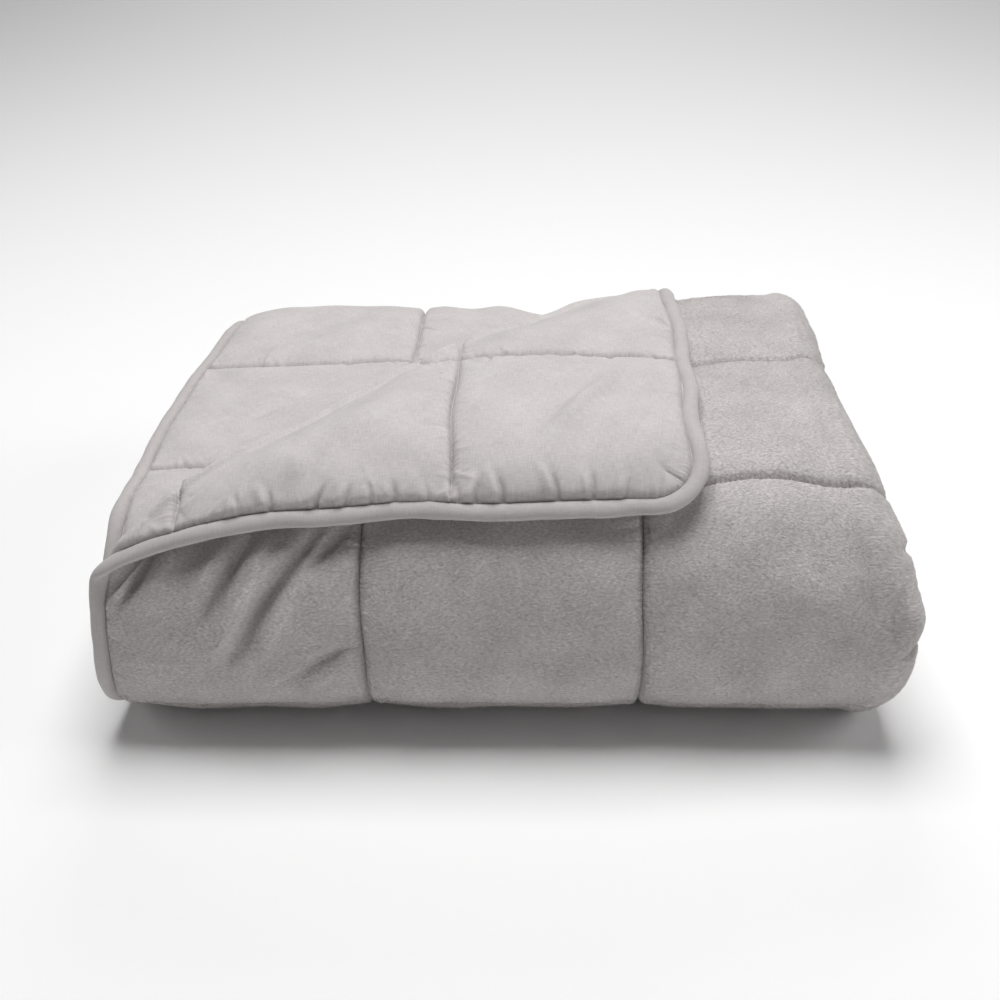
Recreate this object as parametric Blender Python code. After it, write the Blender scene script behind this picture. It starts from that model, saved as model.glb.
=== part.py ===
"""A quilted and bound weighted blanket, folded, with one corner of its top layer turned back.

The blanket is cut as a flat rectangle.  Its quilted body and its edge binding are drawn in flat
coordinates, u across, v along and w through the thickness (plush face positive, cotton face
negative), and then folded: the corner is turned back, the blanket is folded in half across, and
the strip is folded in half and in half again lengthwise.  Metres, +Z up.  The origin is on the
surface it lies on, under the middle of the folded blanket.
"""
import math

import bmesh
import bpy
import numpy as np

# Cut sizes of the flat blanket, over its binding
BLANKET_WIDTH = 1.000
BLANKET_LENGTH = 1.500
CORNER_RADIUS = 0.042

# Quilting: square cells, counted out from the middle of the blanket
CELL = 0.168
CELLS_ACROSS = 6
CELLS_ALONG = 9
SEAM_THICKNESS = 0.0040
CROWN_THICKNESS = 0.0217
CROWN_RISE = 0.058
CROWN_POWER = 2.2

# Edge binding, an oval strip beside the rim of the quilt
BINDING_WIDTH = 0.0120
BINDING_THICKNESS = 0.0095
BINDING_SIDES = 8
PIECE_GAP = 0.0006

# Stacking
PITCH = 0.0225
BEND_SQUEEZE = 0.0016
BEND_FADE = 0.020
# The cloth skews over this far to each side of the fold across, where B and A slide apart
SHEAR_REACH = 0.060

# The turned corner: its crease meets the left border and the back border at these distances
CREASE_ON_LEFT = 0.4045
CREASE_ON_BACK = 0.3935
FLAP_RISE = PITCH + 0.002
CREST_RADIUS = 0.0075
CREST_EASE = 20.0
# The filling is pressed thin along the crest
CREST_SQUEEZE = 0.52
CREST_REACH = 0.038

# Lengthwise section: the front roll is round above and squarer where it meets the surface
BACK_CREST = 0.297
BACK_OVERHANG = 0.012
ROLL_TOP = 3.0 * PITCH
ROLL_FOOT = 2.3 * PITCH
INNER_RUN = 0.250

# Unevenness
SIDE_SAG = 0.043
SAG_MIDDLE = 0.260
SAG_REACH = 0.250
RIGHT_LEAN = 0.60
# The weight presses the whole stack down by this share
SETTLED = 0.04
# Places where the layers are pressed down: x, y, reach in x, reach in y, share of the height
PRESSES = (
    (0.33, 0.42, 0.10, 0.10, 0.10),
    (0.50, 0.42, 0.05, 0.10, 0.06),
    (0.04, 0.38, 0.08, 0.12, -0.012),
    (0.00, 0.44, 0.03, 0.05, 0.035),
    (0.43, 0.44, 0.06, 0.05, 0.030),
)
# Places where the sides lean: x, y, z, reach in x, reach in y, reach in z, move in x
LEANS = (
    (0.49, 0.20, 0.16, 0.08, 0.15, 0.06, -0.009),
    (0.50, 0.10, 0.00, 0.06, 0.30, 0.04, -0.010),
    (0.50, 0.05, 0.12, 0.06, 0.10, 0.04, 0.005),
    (0.00, 0.42, 0.15, 0.08, 0.12, 0.08, 0.013),
    (0.00, 0.20, 0.15, 0.08, 0.08, 0.06, -0.002),
    (0.00, 0.03, 0.04, 0.06, 0.08, 0.06, -0.006),
)
# Places where the cloth is gathered or dragged along itself, flat and then with its corner turned:
# u, v, reach in u, reach in v, move in u, move in v
GATHERS = (
    (0.00, 0.11, 0.10, 0.11, -0.0085, 0.0),
    (0.03, 0.00, 0.12, 0.09, 0.0, 0.012),
    (0.08, 0.165, 0.15, 0.07, 0.0, 0.0055),
    (0.17, 0.10, 0.08, 0.10, 0.003, 0.0),
    (0.92, 0.18, 0.14, 0.12, 0.0, 0.024),
    (0.95, 0.36, 0.14, 0.08, 0.0, 0.014),
    (0.83, 0.12, 0.08, 0.15, -0.010, 0.0),
)
SLIPS = (
    (0.01, 0.39, 0.08, 0.07, 0.0, 0.015),
    (0.11, 0.29, 0.08, 0.07, 0.0, 0.020),
    (0.33, 0.07, 0.08, 0.06, 0.0, -0.018),
    (0.22, 0.17, 0.06, 0.06, 0.0, -0.006),
    (0.42, 0.33, 0.06, 0.12, 0.005, 0.0),
    (0.41, 0.216, 0.04, 0.03, -0.003, 0.0),
    (0.525, 0.34, 0.050, 0.08, 0.0, 0.048),
    (0.52, 0.17, 0.040, 0.06, 0.0, 0.028),
    (0.45, 0.165, 0.035, 0.05, 0.0, -0.004),
    (0.38, 0.17, 0.03, 0.05, 0.0, 0.010),
    (0.36, 0.33, 0.03, 0.06, 0.0, 0.008),
    (0.50, 0.00, 0.09, 0.06, 0.0, -0.016),
)

# Mesh fineness: grid lines across a cell as shares of it, and how deep a chord may cut
SHOWN_LINES = (0.0, 0.12, 0.38, 0.62, 0.88)
HIDDEN_LINES = (0.0, 0.38, 0.62)
SHOWN_ALONG = 4
CHORD_DEPTH = 0.0010


class Chain:
    """The side view of a folded strip: straight runs and arcs, one after another."""

    def __init__(self, rows, start, heading):
        """rows are (length, left turn in degrees); the first and last run on as straight."""
        self.lengths = [0.0]
        self.turned = [0.0]
        self.points = [np.array(start, float)]
        self.curvature = []
        self.heading = math.radians(heading)
        for length, turn in rows:
            bend = math.radians(turn)
            self.curvature.append(bend / length)
            step = self.run(self.heading + self.turned[-1], bend / length, length)
            self.points.append(self.points[-1] + np.array(step))
            self.lengths.append(self.lengths[-1] + length)
            self.turned.append(self.turned[-1] + bend)
        self.lengths = np.array(self.lengths)
        self.turned = np.array(self.turned)
        self.points = np.array(self.points)
        self.curvature = np.array(self.curvature)

    @staticmethod
    def run(heading, curvature, length):
        """The move along an arc, or along a straight where the curvature is nought."""
        straight = np.abs(curvature) < 1e-9
        safe = np.where(straight, 1.0, curvature)
        end = heading + curvature * length
        across = np.where(straight, length * np.cos(heading), (np.sin(end) - np.sin(heading)) / safe)
        up = np.where(straight, length * np.sin(heading), (np.cos(heading) - np.cos(end)) / safe)
        return across, up

    def place(self, along, offset):
        """The point at a distance along the strip, and offset to its left."""
        row = np.searchsorted(self.lengths, along, side="right") - 1
        row = np.clip(row, 0, len(self.curvature) - 1)
        outside = (along < self.lengths[0]) | (along > self.lengths[-1])
        last = along > self.lengths[-1]
        base = np.where(last, len(self.curvature), row)
        curvature = np.where(outside, 0.0, self.curvature[row])
        length = along - self.lengths[base]
        heading = self.heading + self.turned[base]
        across, up = self.run(heading, curvature, length)
        end = heading + curvature * length
        x = self.points[base, 0] + across - offset * np.sin(end)
        z = self.points[base, 1] + up + offset * np.cos(end)
        return x, z


def arc(radius, turn):
    """A chain row for an arc of this radius and turn in degrees."""
    return (radius * math.radians(abs(turn)), turn)


def corner_chain():
    """The crest of the turned corner: up and over in a tight arc, then easing out to lie flat."""
    left = math.cos(math.radians(CREST_EASE))
    ease = (FLAP_RISE - CREST_RADIUS * (1 + left)) / (1 - left)
    rows = (arc(CREST_RADIUS, 180 - CREST_EASE), arc(ease, CREST_EASE))
    return Chain(rows, (0.0, 0.0), 0.0)


def side_chain():
    """The right side, where the blanket is folded in half across: B above, A below."""
    fold = 0.0140
    swell = 20.0
    ease = math.radians(swell)
    settle = (fold * math.cos(ease) - PITCH / 2) / (1 - math.cos(ease))
    rows = (arc(settle, swell), arc(fold, -180 - 2 * swell), arc(settle, swell))
    chain = Chain(rows, (0.0, PITCH / 2), 0.0)
    middle = chain.lengths[-1] / 2
    return chain, middle


def lengthwise_rows():
    """The lengthwise section, from the hanging back end round to the inner end."""
    front = 6 * PITCH - ROLL_TOP - ROLL_FOOT
    bottom = INNER_RUN + 4 * PITCH - PITCH - ROLL_FOOT
    return (
        arc(2 * PITCH, 90),
        (BACK_CREST, 0.0),
        arc(ROLL_TOP, 90),
        (front, 0.0),
        arc(ROLL_FOOT, 90),
        (bottom, 0.0),
        arc(PITCH, 180),
        (INNER_RUN, 0.0),
        arc(PITCH, -180),
        (BACK_CREST, 0.0),
    )


CREASE_LENGTH = math.hypot(CREASE_ON_LEFT, CREASE_ON_BACK)
CREASE_NORMAL = (CREASE_ON_LEFT / CREASE_LENGTH, CREASE_ON_BACK / CREASE_LENGTH)
CREASE_PLACE = CREASE_ON_LEFT * CREASE_ON_BACK / CREASE_LENGTH
CORNER = corner_chain()
SIDE, SIDE_MIDDLE = side_chain()
LENGTHWISE = Chain(lengthwise_rows(), (0.0, 0.0), 90.0)
ROLL_START = LENGTHWISE.points[2]
# The two halves lie level on the bottom run, and slide by their own radii everywhere else
LEVEL_TURN = LENGTHWISE.turned[5]
CREST_LENGTH = LENGTHWISE.lengths[1]
UPPER_SLIDE = PITCH / 2
START_V = BACK_OVERHANG - CREST_LENGTH - UPPER_SLIDE * (LENGTHWISE.turned[1] - LEVEL_TURN)


def seam_places(size, cells):
    """The quilting seams across one side of the blanket, and its two ends."""
    inner = [size / 2 + (k - cells / 2) * CELL for k in range(1, cells)]
    return [BINDING_WIDTH] + inner + [size - BINDING_WIDTH]


SEAMS_U = seam_places(BLANKET_WIDTH, CELLS_ACROSS)
SEAMS_V = seam_places(BLANKET_LENGTH, CELLS_ALONG)


def swell(place, seams):
    """How far the filling has risen, 0 on a seam to 1 on the crown, by one coordinate."""
    distance = np.min([np.abs(place - seam) for seam in seams], axis=0)
    reach = np.clip(distance / CROWN_RISE, 0.0, 1.0)
    return 1.0 - (1.0 - reach) ** CROWN_POWER


def layer_slide(offset):
    """For each end of each lengthwise row, the v that lies there on a layer with this offset."""
    turned = LENGTHWISE.turned - LEVEL_TURN
    return START_V + LENGTHWISE.lengths + np.asarray(offset)[..., None] * turned


def bend_nearness(v, offset):
    """1 inside a lengthwise bend, fading to 0 over BEND_FADE outside it."""
    ends = layer_slide(offset)
    near = np.zeros(np.shape(v))
    for row, curvature in enumerate(LENGTHWISE.curvature):
        if abs(curvature) > 0:
            outside = np.maximum(ends[..., row] - v, v - ends[..., row + 1])
            near = np.maximum(near, 1.0 - np.clip(outside / BEND_FADE, 0.0, 1.0))
    return near


def beyond_crease(u, v):
    """The distance past the crease, towards the turned corner."""
    return CREASE_PLACE - (u * CREASE_NORMAL[0] + v * CREASE_NORMAL[1])


def half_thickness(u, v):
    """Half the quilt's thickness: thin at seams and rim, full at crowns, less inside a bend."""
    rise = swell(u, SEAMS_U) * swell(v, SEAMS_V)
    offset = np.where(u < BLANKET_WIDTH / 2, UPPER_SLIDE, -UPPER_SLIDE)
    crown = CROWN_THICKNESS - BEND_SQUEEZE * bend_nearness(v, offset)
    from_crest = (beyond_crease(u, v) - CORNER.lengths[1] / 2) / CREST_REACH
    crown *= 1 - CREST_SQUEEZE * np.exp(-from_crest ** 2)
    return 0.5 * (SEAM_THICKNESS + (crown - SEAM_THICKNESS) * rise)


def turn_corner(u, v, w):
    """Turn the corner nearest u = 0, v = 0 back over the crease.  Gives also how far it is lifted."""
    beyond = np.maximum(beyond_crease(u, v), 0.0)
    moved, height = CORNER.place(beyond, w)
    lift = np.where(beyond > 0, CORNER.place(beyond, 0.0)[1], 0.0)
    shift = np.where(beyond > 0, beyond - moved, 0.0)
    height = np.where(beyond > 0, height, w)
    return u + shift * CREASE_NORMAL[0], v + shift * CREASE_NORMAL[1], height, lift


def shifted(u, v, places):
    """Places moved along the cloth, by a table of local moves."""
    for at_u, at_v, reach_u, reach_v, move_u, move_v in places:
        share = np.exp(-((u - at_u) / reach_u) ** 2 - ((v - at_v) / reach_v) ** 2)
        u, v = u + move_u * share, v + move_v * share
    return u, v


def fold_across(u, w):
    """Fold in half across: gives x, the height in the pair, and the offset that the layer slides by."""
    along = u - BLANKET_WIDTH / 2 + SIDE_MIDDLE
    x, height = SIDE.place(along, w)
    across = np.clip((u - BLANKET_WIDTH / 2) / SHEAR_REACH, -1.0, 1.0)
    layer = -UPPER_SLIDE * np.sin(across * math.pi / 2)
    return x + BLANKET_WIDTH / 2 - SIDE_MIDDLE, height, layer


def fold_lengthwise(v, height, layer, lift):
    """Fold in half and in half again lengthwise, each layer at its own radius."""
    ends = layer_slide(layer)
    # The turned corner lies on top, so it needs more length to go over the front roll
    ends = ends + lift[..., None] * (LENGTHWISE.turned - LENGTHWISE.turned[2])
    row = np.clip((ends <= v[..., None]).sum(-1) - 1, 0, len(LENGTHWISE.curvature) - 1)
    low = np.take_along_axis(ends, row[..., None], -1)[..., 0]
    high = np.take_along_axis(ends, row[..., None] + 1, -1)[..., 0]
    start = LENGTHWISE.lengths[row]
    span = LENGTHWISE.lengths[row + 1] - start
    before = v < ends[..., 0]
    part = np.where(before, 0.0, (v - low) / (high - low))
    along = start + part * span + np.where(before, v - ends[..., 0], 0.0)
    y, z = LENGTHWISE.place(along, -height)
    return y - ROLL_START[0] + 4 * PITCH, z - ROLL_START[1] + 7 * PITCH


def settle(x, y, z):
    """The folded blanket sinks towards its sides and at its presses, and its sides lean."""
    drop = SETTLED + SIDE_SAG * ((x - SAG_MIDDLE) / SAG_REACH) ** 2
    for at_x, at_y, reach_x, reach_y, share in PRESSES:
        drop = drop + share * np.exp(-((x - at_x) / reach_x) ** 2 - ((y - at_y) / reach_y) ** 2)
    lean = -RIGHT_LEAN * (np.clip((x - SAG_MIDDLE) / SAG_REACH, 0.0, None) * z) ** 2
    for at_x, at_y, at_z, reach_x, reach_y, reach_z, move in LEANS:
        away = ((x - at_x) / reach_x) ** 2 + ((y - at_y) / reach_y) ** 2 + ((z - at_z) / reach_z) ** 2
        lean = lean + move * np.exp(-away)
    return x + lean, y, z * (1 - drop)


def fold(u, v, w):
    """Flat blanket coordinates to the folded blanket."""
    u, v = shifted(u, v, GATHERS)
    u, v, w, lift = turn_corner(u, v, w)
    u, v = shifted(u, v, SLIPS)
    x, height, layer = fold_across(u, w)
    y, z = fold_lengthwise(v, height, layer, lift)
    z = z - 0.5 * (PITCH - CROWN_THICKNESS)
    return np.stack(settle(x, y, z), axis=-1)


def rounded(u, v):
    """Draw the square corners of the flat grid into the blanket's rounded corners."""
    radius = CORNER_RADIUS - BINDING_WIDTH
    middle_u, middle_v = BLANKET_WIDTH / 2, BLANKET_LENGTH / 2
    near_u = np.clip(np.abs(u - middle_u) - (middle_u - CORNER_RADIUS), 0, None)
    near_v = np.clip(np.abs(v - middle_v) - (middle_v - CORNER_RADIUS), 0, None)
    square = np.maximum(near_u, near_v)
    circle = np.maximum(np.hypot(near_u, near_v), radius * 1e-6)
    pull = square / circle - 1.0
    return u + np.sign(u - middle_u) * near_u * pull, v + np.sign(v - middle_v) * near_v * pull


def cell_lines(seams, shown):
    """Grid lines through the cells: the first ones are seen and get the finer set."""
    lines = []
    for cell, (low, high) in enumerate(zip(seams, seams[1:])):
        shares = SHOWN_LINES if cell < shown else HIDDEN_LINES
        lines += [low + (high - low) * share for share in shares]
    return lines + [seams[-1]]


def chord_count(turn, reach):
    """How many chords an arc takes, so that none cuts deeper than CHORD_DEPTH."""
    return math.ceil(abs(turn) / (2 * math.acos(1 - CHORD_DEPTH / reach)))


def arc_lines(chain, ends, reach):
    """Evenly spaced places through each arc of a chain, whose rows end at the given places."""
    lines = []
    for row, curvature in enumerate(chain.curvature):
        if abs(curvature) > 0:
            count = chord_count(chain.turned[row + 1] - chain.turned[row], 1 / abs(curvature) + reach)
            lines += list(np.linspace(ends[row], ends[row + 1], count + 1))
    return lines


def merged(main, extra, apart):
    """The main lines, and those of the extra ones that stand clear of their neighbours."""
    lines = list(main)
    for line in extra:
        if main[0] < line < main[-1] and min(abs(line - other) for other in lines) > apart:
            lines.append(line)
    return sorted(lines)


def grid_lines():
    """The u lines and v lines of the flat grid, finer where the cells show and in the bends."""
    across = cell_lines(SEAMS_U, CELLS_ACROSS // 2)
    along = cell_lines(SEAMS_V, SHOWN_ALONG)
    side_ends = SIDE.lengths + BLANKET_WIDTH / 2 - SIDE_MIDDLE
    across_bend = arc_lines(SIDE, side_ends, 2 * PITCH)
    along_bend = []
    for layer in (UPPER_SLIDE, -UPPER_SLIDE):
        along_bend += arc_lines(LENGTHWISE, layer_slide(layer), UPPER_SLIDE)
    return merged(across, across_bend, 0.003), merged(along, along_bend, 0.006)


def cut_along_crease(shape):
    """Edges along the crease, in the flat shape, so that the turned corner folds cleanly."""
    normal = (*CREASE_NORMAL, 0.0)
    for beyond in sorted(set(arc_lines(CORNER, CORNER.lengths, PITCH / 2))):
        place = (normal[0] * (CREASE_PLACE - beyond), normal[1] * (CREASE_PLACE - beyond), 0.0)
        whole = shape.verts[:] + shape.edges[:] + shape.faces[:]
        bmesh.ops.bisect_plane(shape, geom=whole, dist=0.0008, plane_co=place, plane_no=normal)
    bmesh.ops.triangulate(shape, faces=shape.faces[:])


def fold_shape(shape, thickness):
    """Fold a flat bmesh.  thickness gives each vertex's w from its flat coordinates."""
    bmesh.ops.recalc_face_normals(shape, faces=shape.faces[:])
    flat = np.array([vertex.co[:] for vertex in shape.verts])
    u, v = flat[:, 0], flat[:, 1]
    folded = fold(u, v, thickness(u, v, flat[:, 2]))
    for vertex, point in zip(shape.verts, folded):
        vertex.co = point
    # The lengthwise section runs from back to front, so folding turns the faces inside out
    bmesh.ops.reverse_faces(shape, faces=shape.faces[:])


def make_object(name, shape, colour, roughness):
    """One closed solid in its own material."""
    mesh = bpy.data.meshes.new(name)
    shape.to_mesh(mesh)
    shape.free()
    material = bpy.data.materials.new(name)
    material.use_nodes = True
    shader = material.node_tree.nodes["Principled BSDF"]
    shader.inputs["Base Color"].default_value = colour
    shader.inputs["Roughness"].default_value = roughness
    shader.inputs["Metallic"].default_value = 0.0
    mesh.materials.append(material)
    mesh.shade_smooth()
    piece = bpy.data.objects.new(name, mesh)
    bpy.context.scene.collection.objects.link(piece)


def rim_places(columns, rows):
    """The grid places round the border of the flat quilt, in order."""
    left = [(column, 0) for column in range(columns - 1)]
    far = [(columns - 1, row) for row in range(rows - 1)]
    right = [(column, rows - 1) for column in range(columns - 1, 0, -1)]
    near = [(0, row) for row in range(rows - 1, 0, -1)]
    return left + far + right + near


def build_quilt(lines_u, lines_v):
    """Plush face, filling and cotton back, quilted together: one filled solid."""
    shape = bmesh.new()
    u, v = rounded(*np.meshgrid(lines_u, lines_v, indexing="ij"))
    sides = []
    for side in (1.0, -1.0):
        sides.append([[shape.verts.new((a, b, side)) for a, b in zip(*row)] for row in zip(u, v)])
    columns, rows = u.shape
    for column in range(columns - 1):
        for row in range(rows - 1):
            for grid in sides:
                near, far = grid[column], grid[column + 1]
                shape.faces.new((near[row], far[row], far[row + 1], near[row + 1]))
    rim = rim_places(columns, rows)
    plush, cotton = sides
    for (a, b), (c, d) in zip(rim, rim[1:] + rim[:1]):
        shape.faces.new((plush[a][b], plush[c][d], cotton[c][d], cotton[a][b]))
    cut_along_crease(shape)
    fold_shape(shape, lambda u, v, side: side * half_thickness(u, v))
    make_object("quilt", shape, (0.36, 0.345, 0.34, 1), 0.95)


def build_binding(lines_u, lines_v):
    """One strip of cotton round the whole rim, an oval tube beside the quilt's edge."""
    shape = bmesh.new()
    u, v = rounded(*np.meshgrid(lines_u, lines_v, indexing="ij"))
    reach = (BINDING_WIDTH - PIECE_GAP) / 2
    rings = []
    for column, row in rim_places(*u.shape):
        edge = np.array([u[column, row], v[column, row]])
        low, high = CORNER_RADIUS, np.array([BLANKET_WIDTH, BLANKET_LENGTH]) - CORNER_RADIUS
        outward = edge - np.clip(edge, low, high)
        outward /= np.linalg.norm(outward)
        ring = []
        for side in range(BINDING_SIDES):
            angle = 2 * math.pi * side / BINDING_SIDES
            place = edge + outward * (PIECE_GAP + reach * (1 + math.cos(angle)))
            ring.append(shape.verts.new((*place, BINDING_THICKNESS / 2 * math.sin(angle))))
        rings.append(ring)
    for here, ahead in zip(rings, rings[1:] + rings[:1]):
        for side in range(BINDING_SIDES):
            after = (side + 1) % BINDING_SIDES
            shape.faces.new((here[side], ahead[side], ahead[after], here[after]))
    cut_along_crease(shape)
    fold_shape(shape, lambda u, v, w: w)
    make_object("binding", shape, (0.58, 0.545, 0.535, 1), 0.9)


def centre_parts(names):
    """Move the parts together so that their common box is centred on the origin."""
    meshes = [bpy.data.objects[name].data for name in names]
    places = np.array([vertex.co for mesh in meshes for vertex in mesh.vertices])
    middle = (places.min(axis=0) + places.max(axis=0)) / 2
    for mesh in meshes:
        for vertex in mesh.vertices:
            vertex.co.x -= middle[0]
            vertex.co.y -= middle[1]


for leftover in list(bpy.data.objects):
    bpy.data.objects.remove(leftover, do_unlink=True)
LINES_U, LINES_V = grid_lines()
build_quilt(LINES_U, LINES_V)
build_binding(LINES_U, LINES_V)
centre_parts(("quilt", "binding"))
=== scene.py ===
"""A weighted blanket, quilted, bound with cotton tape, and folded with one corner turned back.

Metres, +Z up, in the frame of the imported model.  A place on the blanket is given flat, before it
is folded: u across from the left border, v along from the back border, and w through the
thickness, plush side positive.  Every piece is drawn flat and then laid in the same folds.
"""

import math

import bpy
import numpy as np
from mathutils import Matrix, Vector
from mathutils.bvhtree import BVHTree


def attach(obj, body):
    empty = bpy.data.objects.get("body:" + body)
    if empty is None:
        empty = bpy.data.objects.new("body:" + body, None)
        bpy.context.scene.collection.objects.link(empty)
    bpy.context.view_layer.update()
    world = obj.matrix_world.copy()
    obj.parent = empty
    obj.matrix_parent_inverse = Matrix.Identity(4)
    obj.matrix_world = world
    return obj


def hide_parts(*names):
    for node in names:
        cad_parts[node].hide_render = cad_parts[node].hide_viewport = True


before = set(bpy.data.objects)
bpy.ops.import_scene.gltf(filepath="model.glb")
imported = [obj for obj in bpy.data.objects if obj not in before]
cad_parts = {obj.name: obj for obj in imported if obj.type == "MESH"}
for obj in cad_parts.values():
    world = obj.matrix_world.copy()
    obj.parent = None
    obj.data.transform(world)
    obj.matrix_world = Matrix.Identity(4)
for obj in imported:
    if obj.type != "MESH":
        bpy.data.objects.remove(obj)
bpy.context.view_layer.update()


# ---------------------------------------------------------------------------------------------
# Plush face.  A polyester minky with a pile of about 1 mm, cut as one panel and quilted through
# the filling in 168 mm squares.  It is the outside of the folded blanket.  It is built as two
# panels that meet at the middle seam: the outer half, and the inner half folded under it.
# ---------------------------------------------------------------------------------------------
# The flat blanket over its binding, its cells, which are counted out from its middle, its thickness
# at a seam and at a full crown, and the pitch of the folded layers
BLANKET_WIDTH = 1.000
BLANKET_LENGTH = 1.500
CORNER_RADIUS = 0.042
BINDING_WIDTH = 0.0120
CELL = 0.168
CELLS_ACROSS = 6
CELLS_ALONG = 9
SEAM_THICKNESS = 0.0040
CROWN_THICKNESS = 0.0217
PITCH = 0.0225


def seam_places(size, cells):
    """The quilting seams across one side of the blanket, and its two ends."""
    inner = [size / 2 + (k - cells / 2) * CELL for k in range(1, cells)]
    return np.array([BINDING_WIDTH] + inner + [size - BINDING_WIDTH])


SEAMS_U = seam_places(BLANKET_WIDTH, CELLS_ACROSS)
SEAMS_V = seam_places(BLANKET_LENGTH, CELLS_ALONG)


def seam_distance(u, v):
    """How far a place is from the nearest seam across, and from the nearest seam along."""
    from_u = np.min([np.abs(u - seam) for seam in SEAMS_U], axis=0)
    from_v = np.min([np.abs(v - seam) for seam in SEAMS_V], axis=0)
    return from_u, from_v


class Chain:
    """The side view of a folded strip: straight runs and arcs, one after another."""

    def __init__(self, rows, start, heading):
        """rows are (length, left turn in degrees); the first and last run on as straight."""
        self.lengths = [0.0]
        self.turned = [0.0]
        self.points = [np.array(start, float)]
        self.curvature = []
        self.heading = math.radians(heading)
        for length, turn in rows:
            bend = math.radians(turn)
            self.curvature.append(bend / length)
            step = self.run(self.heading + self.turned[-1], bend / length, length)
            self.points.append(self.points[-1] + np.array(step))
            self.lengths.append(self.lengths[-1] + length)
            self.turned.append(self.turned[-1] + bend)
        self.lengths = np.array(self.lengths)
        self.turned = np.array(self.turned)
        self.points = np.array(self.points)
        self.curvature = np.array(self.curvature)

    @staticmethod
    def run(heading, curvature, length):
        """The move along an arc, or along a straight where the curvature is nought."""
        straight = np.abs(curvature) < 1e-9
        safe = np.where(straight, 1.0, curvature)
        end = heading + curvature * length
        across = np.where(straight, length * np.cos(heading), (np.sin(end) - np.sin(heading)) / safe)
        up = np.where(straight, length * np.sin(heading), (np.cos(heading) - np.cos(end)) / safe)
        return across, up

    def place(self, along, offset):
        """The point at a distance along the strip, and offset to its left."""
        row = np.searchsorted(self.lengths, along, side="right") - 1
        row = np.clip(row, 0, len(self.curvature) - 1)
        outside = (along < self.lengths[0]) | (along > self.lengths[-1])
        last = along > self.lengths[-1]
        base = np.where(last, len(self.curvature), row)
        curvature = np.where(outside, 0.0, self.curvature[row])
        length = along - self.lengths[base]
        heading = self.heading + self.turned[base]
        across, up = self.run(heading, curvature, length)
        end = heading + curvature * length
        x = self.points[base, 0] + across - offset * np.sin(end)
        z = self.points[base, 1] + up + offset * np.cos(end)
        return x, z


def arc(radius, turn):
    """A chain row for an arc of this radius and turn in degrees."""
    return (radius * math.radians(abs(turn)), turn)


# The turned corner: where its crease meets the left and the back border, how high its layer lies
# over the next, and the radius of its crest and its last easing in degrees
CREASE_ON_LEFT = 0.4045
CREASE_ON_BACK = 0.3935
CREASE_LENGTH = math.hypot(CREASE_ON_LEFT, CREASE_ON_BACK)
CREASE_NORMAL = (CREASE_ON_LEFT / CREASE_LENGTH, CREASE_ON_BACK / CREASE_LENGTH)
CREASE_PLACE = CREASE_ON_LEFT * CREASE_ON_BACK / CREASE_LENGTH
FLAP_RISE = PITCH + 0.002
CREST_RADIUS = 0.0075
CREST_EASE = 20.0


def corner_chain():
    """The crest of the turned corner: up and over in a tight arc, then easing out to lie flat."""
    left = math.cos(math.radians(CREST_EASE))
    ease = (FLAP_RISE - CREST_RADIUS * (1 + left)) / (1 - left)
    rows = (arc(CREST_RADIUS, 180 - CREST_EASE), arc(ease, CREST_EASE))
    return Chain(rows, (0.0, 0.0), 0.0)


CORNER = corner_chain()


def beyond_crease(u, v):
    """The distance past the crease, towards the turned corner."""
    return CREASE_PLACE - (u * CREASE_NORMAL[0] + v * CREASE_NORMAL[1])


def turn_corner(u, v, w):
    """Turn the corner nearest u = 0, v = 0 back over the crease.  Gives also how far it is lifted."""
    beyond = np.maximum(beyond_crease(u, v), 0.0)
    moved, height = CORNER.place(beyond, w)
    lift = np.where(beyond > 0, CORNER.place(beyond, 0.0)[1], 0.0)
    shift = np.where(beyond > 0, beyond - moved, 0.0)
    height = np.where(beyond > 0, height, w)
    return u + shift * CREASE_NORMAL[0], v + shift * CREASE_NORMAL[1], height, lift


# The fold across, on the right: its radius, its swell beyond the layers in degrees, how far the cloth
# skews to each side of it, and how far the two halves slide apart there
SIDE_RADIUS = 0.0140
SIDE_SWELL = 20.0
SHEAR_REACH = 0.060
UPPER_SLIDE = PITCH / 2


def side_chain():
    """The right side, where the blanket is folded in half across, and its middle."""
    swell = math.radians(SIDE_SWELL)
    easing = (SIDE_RADIUS * math.cos(swell) - PITCH / 2) / (1 - math.cos(swell))
    eased = arc(easing, SIDE_SWELL)
    chain = Chain((eased, arc(SIDE_RADIUS, -180 - 2 * SIDE_SWELL), eased), (0.0, PITCH / 2), 0.0)
    return chain, chain.lengths[-1] / 2


SIDE, SIDE_MIDDLE = side_chain()


def fold_across(u, w):
    """Fold in half across: gives x, the height in the pair, and the offset that the layer slides by."""
    x, height = SIDE.place(u - BLANKET_WIDTH / 2 + SIDE_MIDDLE, w)
    across = np.clip((u - BLANKET_WIDTH / 2) / SHEAR_REACH, -1.0, 1.0)
    layer = -UPPER_SLIDE * np.sin(across * math.pi / 2)
    return x + BLANKET_WIDTH / 2 - SIDE_MIDDLE, height, layer


# The lengthwise section: its top run and how far its end hangs past the back, its front roll, which
# is round above and squarer where it meets the surface, and its inner run
BACK_CREST = 0.297
BACK_OVERHANG = 0.012
ROLL_TOP = 3.0 * PITCH
ROLL_FOOT = 2.3 * PITCH
INNER_RUN = 0.250


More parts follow.
